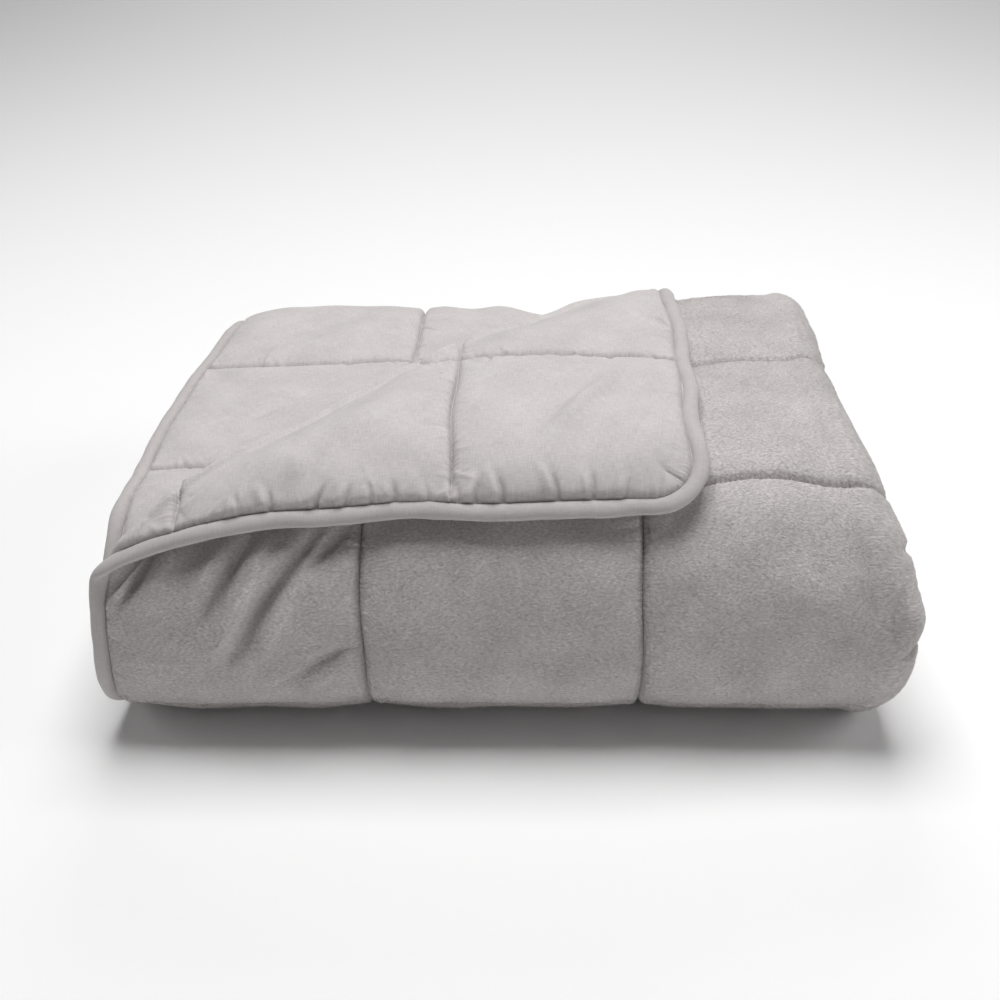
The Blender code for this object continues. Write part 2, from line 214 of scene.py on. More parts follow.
def lengthwise_rows():
    """The lengthwise section, from the hanging back end round to the inner end."""
    return (
        arc(2 * PITCH, 90),
        (BACK_CREST, 0.0),
        arc(ROLL_TOP, 90),
        (6 * PITCH - ROLL_TOP - ROLL_FOOT, 0.0),
        arc(ROLL_FOOT, 90),
        (INNER_RUN + 3 * PITCH - ROLL_FOOT, 0.0),
        arc(PITCH, 180),
        (INNER_RUN, 0.0),
        arc(PITCH, -180),
        (BACK_CREST, 0.0),
    )


LENGTHWISE = Chain(lengthwise_rows(), (0.0, 0.0), 90.0)
ROLL_START = LENGTHWISE.points[2]
# The two halves lie level on the bottom run, and slide by their own radii everywhere else
LEVEL_TURN = LENGTHWISE.turned[5]
START_V = BACK_OVERHANG - LENGTHWISE.lengths[1] - UPPER_SLIDE * (LENGTHWISE.turned[1] - LEVEL_TURN)


def layer_slide(offset):
    """For each end of each lengthwise row, the v that lies there on a layer with this offset."""
    turned = LENGTHWISE.turned - LEVEL_TURN
    return START_V + LENGTHWISE.lengths + np.asarray(offset)[..., None] * turned


def fold_lengthwise(v, height, layer, lift):
    """Fold in half and in half again lengthwise, each layer at its own radius."""
    ends = layer_slide(layer)
    # The turned corner lies on top, so it needs more length to go over the front roll
    ends = ends + lift[..., None] * (LENGTHWISE.turned - LENGTHWISE.turned[2])
    row = np.clip((ends <= v[..., None]).sum(-1) - 1, 0, len(LENGTHWISE.curvature) - 1)
    low = np.take_along_axis(ends, row[..., None], -1)[..., 0]
    high = np.take_along_axis(ends, row[..., None] + 1, -1)[..., 0]
    before = v < ends[..., 0]
    span = LENGTHWISE.lengths[row + 1] - LENGTHWISE.lengths[row]
    part = np.where(before, 0.0, (v - low) / (high - low))
    along = LENGTHWISE.lengths[row] + part * span + np.where(before, v - ends[..., 0], 0.0)
    y, z = LENGTHWISE.place(along, -height)
    return y - ROLL_START[0] + 4 * PITCH, z - ROLL_START[1] + 7 * PITCH


# The weight presses the whole stack down by this share, and more towards its two sides
SETTLED = 0.04
SIDE_SAG = 0.043
SAG_MIDDLE = 0.260
SAG_REACH = 0.250
# How far the right side leans in, more the higher it is
RIGHT_LEAN = 0.60
# Where the layers are pressed down: x, y, reach in x, reach in y, share of the height
PRESSES = (
    (0.33, 0.42, 0.10, 0.10, 0.10),
    (0.50, 0.42, 0.05, 0.10, 0.06),
    (0.04, 0.38, 0.08, 0.12, -0.012),
    (0.00, 0.44, 0.03, 0.05, 0.035),
    (0.43, 0.44, 0.06, 0.05, 0.030),
)
# Where the sides lean: x, y, z, reach in x, reach in y, reach in z, move in x
LEANS = (
    (0.49, 0.20, 0.16, 0.08, 0.15, 0.06, -0.009),
    (0.50, 0.10, 0.00, 0.06, 0.30, 0.04, -0.010),
    (0.50, 0.05, 0.12, 0.06, 0.10, 0.04, 0.005),
    (0.00, 0.42, 0.15, 0.08, 0.12, 0.08, 0.013),
    (0.00, 0.20, 0.15, 0.08, 0.08, 0.06, -0.002),
    (0.00, 0.03, 0.04, 0.06, 0.08, 0.06, -0.006),
)


def settle(x, y, z):
    """The folded blanket sinks towards its sides and at its presses, and its sides lean."""
    drop = SETTLED + SIDE_SAG * ((x - SAG_MIDDLE) / SAG_REACH) ** 2
    for at_x, at_y, reach_x, reach_y, share in PRESSES:
        drop = drop + share * np.exp(-((x - at_x) / reach_x) ** 2 - ((y - at_y) / reach_y) ** 2)
    lean = -RIGHT_LEAN * (np.clip((x - SAG_MIDDLE) / SAG_REACH, 0.0, None) * z) ** 2
    for at_x, at_y, at_z, reach_x, reach_y, reach_z, move in LEANS:
        away = ((x - at_x) / reach_x) ** 2 + ((y - at_y) / reach_y) ** 2 + ((z - at_z) / reach_z) ** 2
        lean = lean + move * np.exp(-away)
    return x + lean, y, z * (1 - drop)


# Nothing sewn runs quite straight: how far the cloth strays across and along, its waves in radians
# per metre, and where they start
STRAY_ACROSS = (0.0005, 71.0, 1.0)
STRAY_ALONG = (0.0008, 66.0, 2.0)
# Where the cloth is gathered along itself while it is flat, and where it slips once its corner is
# turned: u, v, reach in u, reach in v, move in u, move in v
GATHERS = (
    (0.00, 0.11, 0.10, 0.11, -0.0085, 0.0),
    (0.03, 0.00, 0.12, 0.09, 0.0, 0.012),
    (0.08, 0.165, 0.15, 0.07, 0.0, 0.0055),
    (0.17, 0.10, 0.08, 0.10, 0.003, 0.0),
    (0.17, 0.20, 0.05, 0.05, 0.012, 0.0),
    (0.92, 0.18, 0.14, 0.12, 0.0, 0.024),
    (0.95, 0.36, 0.14, 0.08, 0.0, 0.014),
    (0.83, 0.12, 0.08, 0.15, -0.010, 0.0),
)
SLIPS = (
    (0.01, 0.39, 0.08, 0.07, 0.0, 0.015),
    (0.11, 0.29, 0.08, 0.07, 0.0, 0.020),
    (0.33, 0.07, 0.08, 0.06, 0.0, -0.018),
    (0.22, 0.17, 0.06, 0.06, 0.0, -0.006),
    (0.42, 0.33, 0.06, 0.12, 0.005, 0.0),
    (0.41, 0.216, 0.04, 0.03, -0.003, 0.0),
    (0.525, 0.34, 0.050, 0.08, 0.0, 0.048),
    (0.52, 0.17, 0.040, 0.06, 0.0, 0.028),
    (0.45, 0.165, 0.035, 0.05, 0.0, -0.004),
    (0.38, 0.17, 0.03, 0.05, 0.0, 0.010),
    (0.36, 0.33, 0.03, 0.06, 0.0, 0.008),
    (0.50, 0.00, 0.09, 0.06, 0.0, -0.016),
)
# The middle of the folded blanket's outline from above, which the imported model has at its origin
FOLDED_MIDDLE = (0.24276360, 0.21917048)


def strayed(run, stray):
    """How far a line strays aside along its run."""
    reach, waves, start = stray
    return reach * np.sin(run * waves + start)


def shifted(u, v, places):
    """Places moved along the cloth, by a table of local moves."""
    for at_u, at_v, reach_u, reach_v, move_u, move_v in places:
        share = np.exp(-((u - at_u) / reach_u) ** 2 - ((v - at_v) / reach_v) ** 2)
        u, v = u + move_u * share, v + move_v * share
    return u, v


def laid(u, v, w):
    """Flat blanket coordinates to the folded blanket."""
    u, v = u + strayed(v, STRAY_ACROSS), v + strayed(u, STRAY_ALONG)
    u, v = shifted(u, v, GATHERS)
    u, v, w, lift = turn_corner(u, v, w)
    u, v = shifted(u, v, SLIPS)
    x, height, layer = fold_across(u, w)
    y, z = fold_lengthwise(v, height, layer, lift)
    x, y, z = settle(x, y, z - 0.5 * (PITCH - CROWN_THICKNESS))
    return np.stack((x - FOLDED_MIDDLE[0], y - FOLDED_MIDDLE[1], z), axis=-1)


# How a cell rises from its seams, and how its filling is pressed thin inside a bend and at the crest
CROWN_RISE = 0.050
CROWN_POWER = 3.2
BEND_SQUEEZE = 0.0016
BEND_FADE = 0.020
CREST_SQUEEZE = 0.52
CREST_REACH = 0.038
# The thread draws the seam in to a narrow groove, most at each stitch, and the filling stands up
# full beside it
STITCH = 0.0032
GROOVE_DEPTH = 0.0017
GROOVE_REACH = 0.0030
GROOVE_PULL = 1.15
STITCH_PULL = 0.35
PINCH_HEIGHT = 0.0046
PINCH_REACH = 0.0011
PINCH_FADE = 0.018


def bend_nearness(v, offset):
    """1 inside a lengthwise bend, fading to 0 outside it."""
    ends = layer_slide(offset)
    near = np.zeros(np.shape(v))
    for row, curvature in enumerate(LENGTHWISE.curvature):
        if abs(curvature) > 0:
            outside = np.maximum(ends[..., row] - v, v - ends[..., row + 1])
            near = np.maximum(near, 1.0 - np.clip(outside / BEND_FADE, 0.0, 1.0))
    return near


def quilted(u, v):
    """Half the thickness of the quilt: thin at seams and rim, full at the crowns."""
    from_u, from_v = seam_distance(u, v)
    rise = 1.0
    for distance in (from_u, from_v):
        rise = rise * (1.0 - (1.0 - np.clip(distance / CROWN_RISE, 0.0, 1.0)) ** CROWN_POWER)
    offset = np.where(u < BLANKET_WIDTH / 2, UPPER_SLIDE, -UPPER_SLIDE)
    crown = CROWN_THICKNESS - BEND_SQUEEZE * bend_nearness(v, offset)
    from_crest = (beyond_crease(u, v) - CORNER.lengths[1] / 2) / CREST_REACH
    crown = crown * (1 - CREST_SQUEEZE * np.exp(-from_crest ** 2))
    from_seam = np.minimum(from_u, from_v)
    along = np.where(from_u < from_v, v, u)
    pull = GROOVE_PULL + STITCH_PULL * np.cos(2 * math.pi * along / STITCH)
    drawn = GROOVE_DEPTH * np.exp(-from_seam / GROOVE_REACH) * pull
    full = PINCH_HEIGHT * (1 - np.exp(-from_seam / PINCH_REACH)) * np.exp(-from_seam / PINCH_FADE)
    return 0.5 * (SEAM_THICKNESS + (crown - SEAM_THICKNESS) * rise) - drawn + full


# How far the filling pushes the cloth together over a seam, and how far and how soon that reaches
SEAM_CLOSING = 0.0009
CLOSING_REACH = 0.0040
CLOSING_START = 0.0006


def closed(places, seams):
    """Move places towards their nearest seam: the filling pushes the cloth together over it."""
    away = places[:, None] - seams[None, :]
    away = np.take_along_axis(away, np.abs(away).argmin(axis=1)[:, None], 1)[:, 0]
    near = np.exp(-np.abs(away) / CLOSING_REACH) * (1 - np.exp(-np.abs(away) / CLOSING_START))
    return places - np.sign(away) * SEAM_CLOSING * near


def creased(u, v, rows):
    """The height of single folds.

    Each row gives u, v of one end, u, v of the other, how far the fold bows aside, the share of its
    length over which it grows from the first end, its half width and its height.
    """
    height = np.zeros(np.shape(u))
    for start_u, start_v, end_u, end_v, bow, onset, reach, rise in rows:
        run = np.array((end_u - start_u, end_v - start_v))
        length = math.hypot(*run)
        along = ((u - start_u) * run[0] + (v - start_v) * run[1]) / length ** 2
        aside = ((u - start_u) * run[1] - (v - start_v) * run[0]) / length - 4 * bow * along * (1 - along)
        grown = np.clip(np.minimum(along / onset, (1 - along) / (1 - onset)), 0.0, 1.0)
        height += rise * grown * grown * (3 - 2 * grown) * np.exp(-(aside / reach) ** 2)
    return height


# Puckers: how far from a seam they lie, how far along it one is worked out, the ranges of their half
# width and length, the stretch that one in three gets, the spreads of their lean and height, how
# soon they grow from the seam, how far they keep clear of it, and how far outside a panel a seam may
# be that still draws them
PUCKER_FURTHEST = 0.045
PUCKER_WINDOW = 0.020
PUCKER_WIDTHS = (0.0009, 0.0021)
PUCKER_LENGTHS = (0.0025, 0.0080)
PUCKER_STRETCH = (1.0, 1.0, 2.2)
PUCKER_LEAN = 0.45
PUCKER_SPREAD = 0.8
PUCKER_START = 0.0010
PUCKER_CLEAR = 0.0015
SEAM_MARGIN = 0.010


def puckered(u, v, seed, rise, closest, furthest):
    """The small gathers that quilting draws into a face, standing square to its seams."""
    chance = np.random.default_rng(seed)
    height = np.zeros(np.shape(u))
    for coordinate, other, seams in ((u, v, SEAMS_U), (v, u, SEAMS_V)):
        reached = (seams > coordinate.min() - SEAM_MARGIN) & (seams < coordinate.max() + SEAM_MARGIN)
        for seam in seams[reached]:
            for side in (-1.0, 1.0):
                away = (coordinate - seam) * side
                close = np.nonzero((away > 0.0) & (away < PUCKER_FURTHEST))[0]
                close = close[np.argsort(other[close], kind="stable")]
                distance, beside = away[close], other[close]
                bumps = np.zeros(len(close))
                place = other.min()
                while place < other.max():
                    place += chance.uniform(closest, furthest)
                    reach = chance.uniform(*PUCKER_WIDTHS)
                    long = chance.uniform(*PUCKER_LENGTHS) * chance.choice(PUCKER_STRETCH)
                    lean = chance.normal(0.0, PUCKER_LEAN)
                    size = rise * chance.normal(0.0, PUCKER_SPREAD)
                    window = (place - PUCKER_WINDOW, place + PUCKER_WINDOW)
                    first, last = np.searchsorted(beside, window)
                    run = distance[first:last]
                    line = (beside[first:last] - place - lean * run) / reach
                    grown = (1.0 - np.exp(-run / PUCKER_START)) * np.exp(-run / long)
                    bumps[first:last] += size * grown * np.exp(-line ** 2)
                height[close] += bumps
    from_u, from_v = seam_distance(u, v)
    return height * np.clip(np.minimum(from_u, from_v) / PUCKER_CLEAR, 0.0, 1.0)


# The slow waves of the filling: how many, how high they stand together, and how far they fade
# towards a seam
UNEVEN_WAVES = 14
UNEVEN_TOGETHER = 4
UNEVEN_FADE = 0.020


def uneven(u, v, seed, rise, shortest, longest):
    """The slow unevenness of the filling, as a sum of long waves."""
    chance = np.random.default_rng(seed)
    height = np.zeros(np.shape(u))
    for _ in range(UNEVEN_WAVES):
        heading = chance.uniform(0.0, 2 * math.pi)
        wave = 2 * math.pi / chance.uniform(shortest, longest)
        phase = chance.uniform(0.0, 2 * math.pi)
        height += np.sin(wave * (u * math.cos(heading) + v * math.sin(heading)) + phase)
    inside = np.clip(np.minimum(*seam_distance(u, v)) / UNEVEN_FADE, 0.0, 1.0)
    return height * rise / UNEVEN_TOGETHER * inside


def cell_lines(seams, counts, under):
    """Grid lines through the cells, each cut into its own count, and one under the binding."""
    lines = []
    for low, high, count in zip(seams, seams[1:], counts):
        lines += list(low + (high - low) * np.arange(count) / count)
    lines.append(seams[-1])
    before, after = under
    return np.array([seams[0] - before] * (before > 0) + lines + [seams[-1] + after] * (after > 0))


def rounded(u, v):
    """Draw the square corners of the flat grid into the blanket's rounded corners."""
    middle_u, middle_v = BLANKET_WIDTH / 2, BLANKET_LENGTH / 2
    near_u = np.clip(np.abs(u - middle_u) - (middle_u - CORNER_RADIUS), 0, None)
    near_v = np.clip(np.abs(v - middle_v) - (middle_v - CORNER_RADIUS), 0, None)
    square = np.maximum(near_u, near_v)
    pull = square / np.maximum(np.hypot(near_u, near_v), 1e-9) - 1.0
    return u + np.sign(u - middle_u) * near_u * pull, v + np.sign(v - middle_v) * near_v * pull


def smooth_mesh(name, points, corners, sizes, flat, material):
    """A smooth mesh from the corners of its faces and how many each has, with its flat places as UV."""
    mesh = bpy.data.meshes.new(name)
    mesh.vertices.add(len(points))
    mesh.vertices.foreach_set("co", points.astype(np.float32).ravel())
    mesh.loops.add(len(corners))
    mesh.loops.foreach_set("vertex_index", corners.astype(np.int32))
    mesh.polygons.add(len(sizes))
    mesh.polygons.foreach_set("loop_start", (np.cumsum(sizes) - sizes).astype(np.int32))
    mesh.update(calc_edges=True)
    mesh.shade_smooth()
    places = mesh.uv_layers.new(name="flat")
    places.data.foreach_set("uv", flat[corners].astype(np.float32).ravel())
    mesh.materials.append(material)
    mesh.validate()
    piece = bpy.data.objects.new(name, mesh)
    bpy.context.scene.collection.objects.link(piece)
    return piece


def graded_faces(levels):
    """Join a grid whose cells are cut in one, two or four each way.

    Gives the quarter steps that are used, as two index arrays, the corners of the faces among them,
    and how many corners each face has.
    """
    used = np.zeros((4 * levels.shape[0] + 1, 4 * levels.shape[1] + 1), bool)
    blocks = []
    for level in (1, 2, 4):
        step = 4 // level
        cell_u, cell_v = np.nonzero(levels == level)
        shift_u, shift_v = (shift.ravel() * step for shift in np.mgrid[0:level, 0:level])
        low_u = (4 * cell_u[:, None] + shift_u).ravel()
        low_v = (4 * cell_v[:, None] + shift_v).ravel()
        blocks.append((step, low_u, low_v))
        for far_u, far_v in ((0, 0), (step, 0), (step, step), (0, step)):
            used[low_u + far_u, low_v + far_v] = True
    number = np.cumsum(used).reshape(used.shape) - 1
    corners, sizes = [], []
    for step, low_u, low_v in blocks:
        ahead = np.arange(step)
        still = np.full(step, 0)
        ring_u = np.concatenate((ahead, still + step, step - ahead, still))
        ring_v = np.concatenate((still, ahead, still + step, step - ahead))
        ring = (low_u[:, None] + ring_u, low_v[:, None] + ring_v)
        present, index = used[ring], number[ring]
        code = present @ (1 << np.arange(4 * step))
        for pattern in np.unique(code):
            same = code == pattern
            faces = index[same][:, present[np.argmax(same)]]
            corners.append(faces.ravel())
            sizes.append(np.full(len(faces), faces.shape[1]))
    return np.nonzero(used), np.concatenate(corners), np.concatenate(sizes)


def quarters(lines):
    """Grid lines with three more between each two."""
    return np.interp(np.arange(4 * len(lines) - 3) / 4, np.arange(len(lines)), lines)


def graded_levels(distance, close, near):
    """Cut the cells in four within one distance of what needs it, and in two within another."""
    return np.where(distance < close, 4, np.where(distance < near, 2, 1))


# Half the thickness of the quilt at its thinnest, and under the binding
THINNEST = 0.0003
UNDER_TAPE = 0.0006


def face_panel(name, lines_u, lines_v, side, relief, detail, material):
    """One face of the quilt between these lines: side is 1 for plush and -1 for cotton."""
    middle_u, middle_v = (lines_u[1:] + lines_u[:-1]) / 2, (lines_v[1:] + lines_v[:-1]) / 2
    (at_u, at_v), corners, sizes = graded_faces(detail(*np.meshgrid(middle_u, middle_v, indexing="ij")))
    u, v = quarters(lines_u)[at_u], quarters(lines_v)[at_v]
    lift = np.maximum(quilted(u, v) + relief(u, v), THINNEST)
    past_u = np.maximum(SEAMS_U[0] - u, u - SEAMS_U[-1])
    past_v = np.maximum(SEAMS_V[0] - v, v - SEAMS_V[-1])
    lift = np.where(np.maximum(past_u, past_v) > 0.0, UNDER_TAPE, lift)
    u, v = rounded(closed(u, SEAMS_U), closed(v, SEAMS_V))
    points = laid(u, v, side * lift)
    # Nothing reaches below the surface that the blanket lies on
    points[:, 2] = np.maximum(points[:, 2], 0.0)
    if side > 0:
        corners, sizes = corners[::-1], sizes[::-1]
    return smooth_mesh(name, points, corners, sizes, np.stack((u, v), axis=-1), material)


def linear(code):
    """An sRGB hex colour as linear red, green, blue and alpha."""
    parts = [int(code[place:place + 2], 16) / 255 for place in (0, 2, 4)]
    parts = [part / 12.92 if part <= 0.04045 else ((part + 0.055) / 1.055) ** 2.4 for part in parts]
    return parts + [1.0]


def add_node(tree, kind, settings=None, **links):
    """Adds a node.  settings are its properties, and links its inputs: a value, or (node, output)."""
    made = tree.nodes.new(kind)
    for name, value in (settings or {}).items():
        setattr(made, name, value)
    for name, value in links.items():
        socket = made.inputs[int(name[1:]) if name[0] == "_" else name.replace("_", " ")]
        if isinstance(value, tuple) and isinstance(value[0], bpy.types.Node):
            tree.links.new(value[0].outputs[value[1]], socket)
        else:
            socket.default_value = value
    return made


# How minky looks, as counts to a metre: tufts of 0.5 mm, drawn as 1.1 by 2.4 mm so that they show and
# brushed a little askew, strays of 14 mm that bend their rows, and strokes of a hand of about 40 mm
TUFTS = (420.0, 900.0, 1.0)
TUFT_SLANT = 0.35
STRAYS = 70.0
STROKES = 26.0


def plush_material():
    """Minky: short dyed polyester pile, with a soft sheen, lighter tufts as a painted highlight of lit
    tips, and brushed patches.
    """
    material = bpy.data.materials.new("minky_plush")
    material.use_nodes = True
    tree = material.node_tree
    shader = tree.nodes["Principled BSDF"]
    cut = add_node(tree, "ShaderNodeUVMap", {"uv_map": "flat"})
    bent = add_node(tree, "ShaderNodeTexNoise", Vector=(cut, "UV"), Scale=STRAYS, Detail=2.0)
    stray = add_node(tree, "ShaderNodeVectorMath", {"operation": "SCALE"}, _0=(bent, "Color"), Scale=0.004)
    swept = add_node(tree, "ShaderNodeVectorMath", {"operation": "ADD"}, _0=(cut, "UV"),
                     _1=(stray, "Vector"))
    lay = add_node(tree, "ShaderNodeMapping", Vector=(swept, "Vector"), Rotation=(0.0, 0.0, TUFT_SLANT),
                   Scale=TUFTS)
    tufts = add_node(tree, "ShaderNodeTexNoise", Vector=(lay, "Vector"), Scale=1.0, Detail=4.0,
                     Roughness=0.7)
    hand = add_node(tree, "ShaderNodeTexNoise", Vector=(cut, "UV"), Scale=STROKES, Detail=4.0,
                    Roughness=0.65)
    spread = add_node(tree, "ShaderNodeMapRange", Value=(tufts, "Fac"), From_Min=0.34, From_Max=0.66)
    # The tufts' tone runs at random from a darker grey to a lighter one, and the lighter tufts are a
    # painted highlight that stands in for pile tips catching the light
    tufts_with_painted_tips = add_node(tree, "ShaderNodeMix", {"data_type": "RGBA"}, Factor=(spread, "Result"),
                    _6=linear("aea9a8"), _7=linear("dfdad9"))
    brushed = add_node(tree, "ShaderNodeMapRange", Value=(hand, "Fac"), From_Min=0.3, From_Max=0.7,
                       To_Min=0.90, To_Max=1.08)
    tone = add_node(tree, "ShaderNodeVectorMath", {"operation": "SCALE"}, _0=(tufts_with_painted_tips, 2),
                    Scale=(brushed, "Result"))
    fine = add_node(tree, "ShaderNodeBump", Height=(tufts, "Fac"), Strength=0.8, Distance=0.0008)
    wide = add_node(tree, "ShaderNodeBump", Height=(hand, "Fac"), Strength=0.35, Distance=0.0030,
                    Normal=(fine, "Normal"))
    tree.links.new(tone.outputs["Vector"], shader.inputs["Base Color"])
    tree.links.new(wide.outputs["Normal"], shader.inputs["Normal"])
    shader.inputs["Roughness"].default_value = 1.0
    shader.inputs["Specular IOR Level"].default_value = 0.15
    shader.inputs["Sheen Weight"].default_value = 0.15
    shader.inputs["Sheen Roughness"].default_value = 0.45
    shader.inputs["Sheen Tint"].default_value = linear("d9d4d2")
    return material


# Folds on the front roll, dragged down to the left where the turned corner pulls, and at its foot:
# u and v of one end, u and v of the other, bow, onset, half width, height
PLUSH_FOLDS = (
    (0.046, 0.350, 0.014, 0.406, 0.002, 0.45, 0.0026, -0.0080),
    (0.039, 0.352, 0.007, 0.402, 0.002, 0.35, 0.0044, 0.0040),
    (0.058, 0.350, 0.028, 0.400, 0.002, 0.35, 0.0060, 0.0026),
    (0.102, 0.348, 0.062, 0.426, 0.002, 0.45, 0.0042, -0.0098),
    (0.088, 0.350, 0.048, 0.420, 0.002, 0.35, 0.0055, 0.0042),
    (0.114, 0.350, 0.074, 0.440, 0.002, 0.35, 0.0060, 0.0042),
    (0.146, 0.350, 0.072, 0.456, 0.002, 0.50, 0.0042, -0.0098),
    (0.134, 0.352, 0.062, 0.444, 0.002, 0.50, 0.0052, 0.0048),
    (0.158, 0.350, 0.084, 0.462, 0.002, 0.50, 0.0058, 0.0050),
    (0.162, 0.350, 0.120, 0.404, 0.002, 0.45, 0.0040, -0.0066),
    (0.167, 0.366, 0.128, 0.424, 0.002, 0.35, 0.0055, 0.0032),
    (0.164, 0.430, 0.108, 0.466, 0.001, 0.40, 0.0044, -0.0046),
    (0.162, 0.440, 0.116, 0.476, 0.001, 0.40, 0.0050, 0.0030),
    (0.4765, 0.385, 0.4785, 0.452, 0.002, 0.50, 0.0030, -0.0052),
    (0.4900, 0.400, 0.4880, 0.444, 0.000, 0.50, 0.0070, 0.0046),
    (0.4760, 0.449, 0.5100, 0.440, 0.000, 0.50, 0.0034, -0.0060),
    (0.4800, 0.374, 0.5100, 0.360, 0.000, 0.50, 0.0040, -0.0034),
)
# The channel beside a seam: its depth, how soon it starts, how far it reaches, how ragged it is, and
# the fine and the wide wave of that in radians per metre
CHANNEL_DEPTH = 0.0018
CHANNEL_START = 0.0005
CHANNEL_REACH = 0.0024
RAGGED = 0.5
RAGGED_FINE = 1500.0
RAGGED_WIDE = 390.0


def parted(u, v):
    """A face dips unevenly beside a seam, which shows as a ragged channel."""
    from_u, from_v = seam_distance(u, v)
    along, away = np.where(from_u < from_v, v, u), np.minimum(from_u, from_v)
    ragged = 1.0 + RAGGED * np.sin(along * RAGGED_FINE) * np.sin(along * RAGGED_WIDE + 1.0)
    sunk = -CHANNEL_DEPTH * ragged * (1 - np.exp(-away / CHANNEL_START))
    return sunk * np.exp(-(away / CHANNEL_REACH) ** 2)


def plush_outer_relief(u, v):
    """Folds, puckers and unevenness of the plush outside."""
    puckers = puckered(u, v, seed=11, rise=0.0010, closest=0.0040, furthest=0.0110)
    waves = uneven(u, v, seed=12, rise=0.0010, shortest=0.035, longest=0.110)
    return puckers + waves + creased(u, v, PLUSH_FOLDS) + parted(u, v)


def plush_inner_relief(u, v):
    """The inner half lies pressed between layers, so it is only a little uneven."""
    return uneven(u, v, seed=13, rise=0.0004, shortest=0.040, longest=0.110)


# Where the outer plush shows: past the cells that are turned back, and down to the foot of the front
# roll.  Where the roll has its folds, and how near to a seam the mesh is fine, and less fine
PLUSH_SHOWN_FROM = 0.345
PLUSH_SHOWN_TO = 0.62
FOLDS_ACROSS = 0.19
FOLDS_ALONG = (0.33, 0.50)
PLUSH_CLOSE = 0.0085
PLUSH_NEAR = 0.0170


def plush_outer_detail(u, v):
    """Fine at the seams that show, and on the folds of the front roll."""
    shown = (np.maximum(u, v) > PLUSH_SHOWN_FROM) & (v < PLUSH_SHOWN_TO)
    at_seams = graded_levels(np.minimum(*seam_distance(u, v)), PLUSH_CLOSE, PLUSH_NEAR)
    levels = np.where(shown, at_seams, 1)
    folds = (u < FOLDS_ACROSS) & (v > FOLDS_ALONG[0]) & (v < FOLDS_ALONG[1])
    return np.where(folds, np.maximum(levels, 2), levels)


def even(u, v):
    """No cell is cut further."""
    return np.ones(np.shape(u), int)


# How far a face runs on under the binding
UNDER = 0.0035
plush = plush_material()
# Each cell is cut into fewer steps where other layers hide it
plush_outer = face_panel(
    "plush_outer", cell_lines(SEAMS_U[:4], (36, 40, 40), (UNDER, 0)),
    cell_lines(SEAMS_V, (36, 40, 40, 40, 36, 16, 16, 16, 16), (UNDER, UNDER)), 1,
    plush_outer_relief, plush_outer_detail, plush,
)
plush_inner = face_panel(
    "plush_inner", cell_lines(SEAMS_U[3:], (30, 24, 24), (0, UNDER)),
    cell_lines(SEAMS_V, (30,) * CELLS_ALONG, (UNDER, UNDER)), 1, plush_inner_relief, even, plush,
)
for piece in (plush_outer, plush_inner):
    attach(piece, "root")
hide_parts("quilt")


# ---------------------------------------------------------------------------------------------
# Cotton face.  A light plain-woven cotton, quilted to the plush with the same seams.  It is the
# inside of the fold, and shows on the turned corner and on the layer under it.
# ---------------------------------------------------------------------------------------------
# Threads of 0.3 mm, drawn 0.6 mm wide with slubs 6 mm long so that they just show, and patches of
# about 26 mm that washing has worn, as counts to a metre
THREADS = 1700.0
SLUBS = 160.0
WORN = 38.0


def cotton_material(name, light, dark):
    """Plain-woven cotton, washed: matt, with slubs in the threads and very fine ribs."""
    material = bpy.data.materials.new(name)
    material.use_nodes = True
    tree = material.node_tree
    shader = tree.nodes["Principled BSDF"]
    cut = add_node(tree, "ShaderNodeUVMap", {"uv_map": "flat"})
    warp_lay = add_node(tree, "ShaderNodeMapping", Vector=(cut, "UV"), Scale=(THREADS, SLUBS, 1.0))
    weft_lay = add_node(tree, "ShaderNodeMapping", Vector=(cut, "UV"), Scale=(SLUBS, THREADS, 1.0))
    warp = add_node(tree, "ShaderNodeTexNoise", Vector=(warp_lay, "Vector"), Scale=1.0, Detail=2.0)
    weft = add_node(tree, "ShaderNodeTexNoise", Vector=(weft_lay, "Vector"), Scale=1.0, Detail=2.0)
    cloth = add_node(tree, "ShaderNodeMath", {"operation": "ADD"}, _0=(warp, "Fac"), _1=(weft, "Fac"))
    worn = add_node(tree, "ShaderNodeTexNoise", Vector=(cut, "UV"), Scale=WORN, Detail=5.0, Roughness=0.6)
    both = add_node(tree, "ShaderNodeMath", {"operation": "MULTIPLY_ADD"}, _0=(worn, "Fac"), _1=0.7,
                    _2=(cloth, "Value"))
    share = add_node(tree, "ShaderNodeMapRange", Value=(both, "Value"), From_Min=1.0, From_Max=1.7)
    colour = add_node(tree, "ShaderNodeMix", {"data_type": "RGBA"}, Factor=(share, "Result"),
                      _6=linear(dark), _7=linear(light))
    bump = add_node(tree, "ShaderNodeBump", Height=(cloth, "Value"), Strength=0.30, Distance=0.0003)
    tree.links.new(colour.outputs[2], shader.inputs["Base Color"])
    tree.links.new(bump.outputs["Normal"], shader.inputs["Normal"])
    shader.inputs["Roughness"].default_value = 0.88
    shader.inputs["Specular IOR Level"].default_value = 0.25
    shader.inputs["Sheen Weight"].default_value = 0.10
    shader.inputs["Sheen Roughness"].default_value = 0.5
    return material


